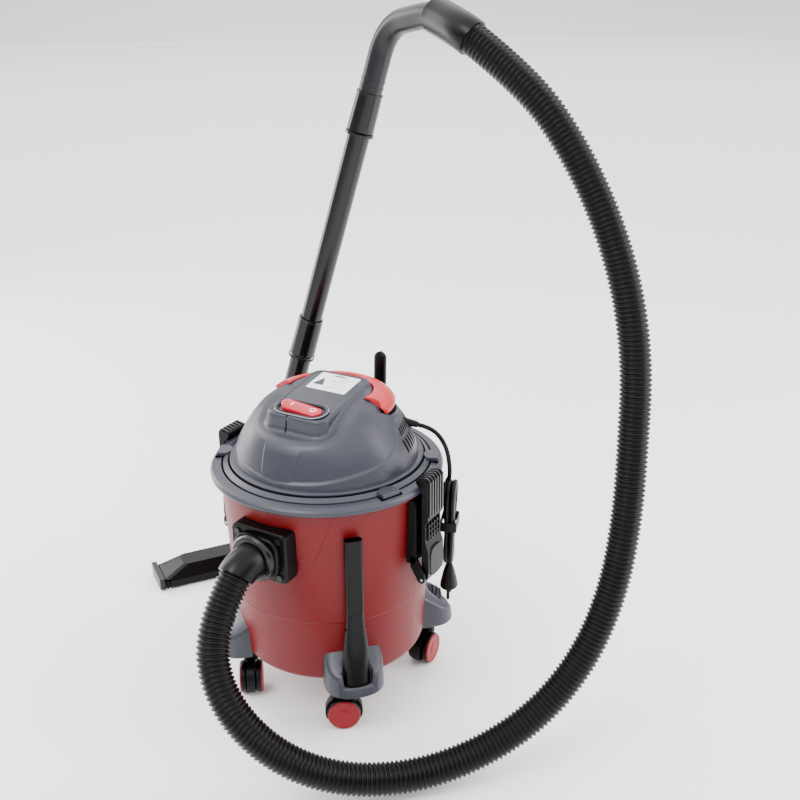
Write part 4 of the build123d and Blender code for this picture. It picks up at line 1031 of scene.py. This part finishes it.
def cord_hook():
    """A flat bar carried along the hook's line, rounded off over its last few millimetres."""
    path = evenly(followed(HOOK_LINE), 2.0)
    tangents = np.gradient(path, axis=0)
    sideways = np.array((1.0, 0, 0))
    points = []
    for p, tangent in zip(path, tangents):
        out = np.cross(sideways, tangent / np.linalg.norm(tangent))
        to_tip = (HOOK_LINE[-1][2] - p[2]) / HOOK_TIP
        at_tip = to_tip < 1 and p[1] > 140
        share = math.sqrt(max(0.02, 1 - (1 - to_tip) ** 2)) if at_tip else 1.0
        for a in np.linspace(0, 2 * math.pi, HOOK_TURNS, endpoint=False):
            c, q = math.cos(a), math.sin(a)
            c, q = math.copysign(abs(c) ** 0.7, c), math.copysign(abs(q) ** 0.7, q)
            wide, thick = HOOK_HALF_WIDE * c * share, HOOK_HALF_THICK * q * max(share, 0.6)
            points.append(p + sideways * wide + out * thick)
    last = (len(path) - 1) * HOOK_TURNS
    faces = grid_faces(len(path), HOOK_TURNS)
    faces.append(tuple(range(HOOK_TURNS)))
    faces.append(tuple(last + k for k in reversed(range(HOOK_TURNS))))
    piece("cord_hook", points, faces, BLACK, "head", "cord_hook", slot="black_plastic", sharp=60)


cord_hook()

# ---- floor tool trim ---------------------------------------------------------------------
FLOOR_TOOL_AT = (-328, 180, 0)
TOOL_TURN = math.radians(55)
TOOL = (FLOOR_TOOL_AT, (math.cos(TOOL_TURN), math.sin(TOOL_TURN), 0), (0, 0, 1))
TOOL_HALF = 150
TOOL_CAP = [(-5.2, -33.6), (4.2, -33.6), (4.2, 33.6), (-5.2, 33.6)]
TOOL_CAP_IN = 3.5
TOOL_RIBS = 46
RIB_ROW_HALF = TOOL_HALF - 12
RIB_ROW_OUT = 33.2
for end, name in ((-1, "front"), (1, "rear")):
    middle = np.array(FLOOR_TOOL_AT, float) + np.array(TOOL[1]) * end * (TOOL_HALF - TOOL_CAP_IN)
    prism(f"floor_tool_cap_{name}", soften(TOOL_CAP, 3, 3), (middle, TOOL[1], TOOL[2]), 3.4, 24, DARK_GREY,
          "floor_tool", bevel=1.5, slot="grey_plastic", sharp=40)
for side, name in ((-1, "front"), (1, "rear")):
    for k in range(TOOL_RIBS):
        u = -RIB_ROW_HALF + 2 * RIB_ROW_HALF * k / (TOOL_RIBS - 1)
        rib = [(u + a, side * RIB_ROW_OUT + b) for a, b in box_outline(2.6, 2.4)]
        prism(f"floor_tool_rib_{name}_{k}", rib, TOOL, 4.2, 17, BLACK, "floor_tool", slot="black_plastic")

# ---- wand and handle details -------------------------------------------------------------
WAND_BASE = np.array((-281.0, 164.0, 60.0))
WAND_RUN = (219.0, 73.0, 782.0)
WAND_WAY = np.array(WAND_RUN) / math.hypot(*WAND_RUN)


def wand_ring(name, s, r, wide, proud, material):
    """A thin raised band round the wand at a distance along it."""
    band = [(r - 1, 0), (r + proud, 0), (r + proud, wide), (r - 1, wide)]
    points, faces = lathe(soften(band, min(proud, wide) * 0.4, 3), 64)
    piece(name, placed(points, WAND_BASE + WAND_WAY * s, (0, 1, 0), WAND_WAY), faces, material, "root",
          slot="black_plastic", sharp=40)


# Name, distance along the wand, radius, width and height of each band.
WAND_BANDS = [("wand_band_low", 379.2, 20.5, 4.0, 0.9, BLACK_GLOSS),
              ("wand_band_mid", 446.5, 18.6, 3.0, 0.9, BLACK_GLOSS),
              ("wand_band_high", 751.2, 20.5, 4.0, 0.9, BLACK_GLOSS),
              ("wand_band_top", 812.0, 18.9, 3.2, 1.0, BLACK_GLOSS),
              ("handle_band_low", 823.0, 17.5, 1.6, 0.7, DARK_GREY),
              ("handle_band_high", 833.0, 17.5, 1.6, 0.7, DARK_GREY)]
for band in WAND_BANDS:
    wand_ring(*band)

# ---- power cord ---------------------------------------------------------------------------
CORD_ROUTE = [(112, 64, 414), (126, 75, 408), (141, 79, 395), (154, 74, 380), (162, 66, 363),
              (166, 60, 346)]
CORD_D = 6.5
HANK_TALL = 140
HANK_WIDE = 48
HANK_TURNS = 12
TURN_POINTS = 16
BUNDLE = 15
# How far the tie draws the hank in, and over what height.
TIE_SQUEEZE, TIE_REACH = 0.2, 22
# Where the strands lie in the bundle: outwards in the loop's plane, and across it.
STRAND_RINGS = (5.5, -1.0, -6.5, 2.5)
STRAND_DEPTHS = (-7.2, 0, 7.2)
# The last turn stops this many points early, where it is heading down to the plug.
POINTS_LEFT_OFF = 10
START_SHARE = 0.06


def round_a_loop(share, run, bend):
    """The place on a long loop of two straight runs and two round folds, at a share of its length."""
    way = share * (4 * run + 2 * math.pi * bend)
    quarter = math.pi * bend / 2
    if way < quarter:
        return run + bend * math.cos(way / bend), bend * math.sin(way / bend)
    if way < quarter + 2 * run:
        return run - (way - quarter), bend
    if way < 3 * quarter + 2 * run:
        turn = (way - quarter - 2 * run) / bend
        return -run - bend * math.sin(turn), bend * math.cos(turn)
    if way < 3 * quarter + 4 * run:
        return way - 3 * quarter - 3 * run, -bend
    turn = (way - 3 * quarter - 4 * run) / bend
    return run + bend * math.sin(turn), -bend * math.cos(turn)


def hank_route():
    """The coiled part of the cord: long loops that move to another place in the bundle each turn."""
    top = np.array(CORD_ROUTE[-1], float)
    middle = top - (0, 0, HANK_TALL / 2)
    outward = np.array((top[0], top[1], 0)) / math.hypot(top[0], top[1])
    across = np.cross((0, 0, 1), outward)
    half_tall = (HANK_TALL - CORD_D - BUNDLE) / 2
    half_wide = (HANK_WIDE - CORD_D - BUNDLE) / 2
    strands = [(ring, depth) for ring in STRAND_RINGS for depth in STRAND_DEPTHS]
    route = []
    for k in range(HANK_TURNS * TURN_POINTS - POINTS_LEFT_OFF):
        turn, t = divmod(k / TURN_POINTS, 1)
        ring_a, depth_a = strands[int(turn) % len(strands)]
        ring_b, depth_b = strands[(int(turn) + 1) % len(strands)]
        ring, depth = ring_a + (ring_b - ring_a) * t, depth_a + (depth_b - depth_a) * t
        tall, wide = round_a_loop((t + START_SHARE) % 1, half_tall - half_wide, half_wide + ring)
        wide *= 1 - TIE_SQUEEZE * math.exp(-(tall / TIE_REACH) ** 2)
        route.append(middle + np.array((0, 0, tall)) + across * wide + outward * depth)
    exit_point = middle - (0, 0, HANK_TALL / 2)
    return route + [exit_point + (0, 0, 14), exit_point + (0, 0, 6), exit_point - (0, 0, 4)]


cord_route = CORD_ROUTE + hank_route()
cord_data = nurbs("power_cord", cord_route)
cord_data.splines[0].resolution_u = 4
cord_data.bevel_depth = CORD_D / 2 * MM
cord_data.bevel_resolution = 4
cord_data.use_fill_caps = True
cord_data.materials.append(CORD_BLACK)
cord = bpy.data.objects.new("power_cord", cord_data)
bpy.context.scene.collection.objects.link(cord)
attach(cord, "head")
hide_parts("power_cord", "cord_hank")

# ---- finishes of the carried-over CAD pieces --------------------------------------------
FINISHES = {"red_tank": RED_TANK, "red_trim": RED_TRIM, "red_switch": RED_SWITCH, "red_wheel": RED_WHEEL,
            "grey_plastic": GREY, "black_plastic": BLACK, "hose_plastic": HOSE_BLACK,
            "cord_rubber": CORD_BLACK, "rubber": CORD_BLACK, "label": LABEL_FILM, "steel": STEEL,
            "motor_iron": IRON, "aluminium": ALUMINIUM, "filter_paper": FILTER_PAPER, "bristle": BRISTLE}
# Nodes whose finish differs from the rest of their slot.
SPECIAL = {"handle_tube": DARK_GREY, "inlet_screws": BLACK_LIGHTENED, "wand_lower": BLACK_GLOSS,
           "wand_upper": BLACK_GLOSS}
# Nodes whose edges are eased, by how many millimetres.
EASED = {"tank": 0.8, "inlet_port": 1.2, "floor_tool_body": 1.5}
for part in frame["record"]["subparts"]:
    name = part["node"]
    thing = frame["nodes"][name]
    finish = SPECIAL.get(name) or FINISHES[part["material_slot"]]
    if not thing.material_slots:
        thing.data.materials.append(finish)
    for material_slot in thing.material_slots:
        material_slot.material = finish
    if name in EASED:
        edge = thing.modifiers.new("edges", "BEVEL")
        edge.width = EASED[name] * MM
        edge.segments = 3
        edge.limit_method = "ANGLE"
        edge.angle_limit = math.radians(40)
        edge.harden_normals = True
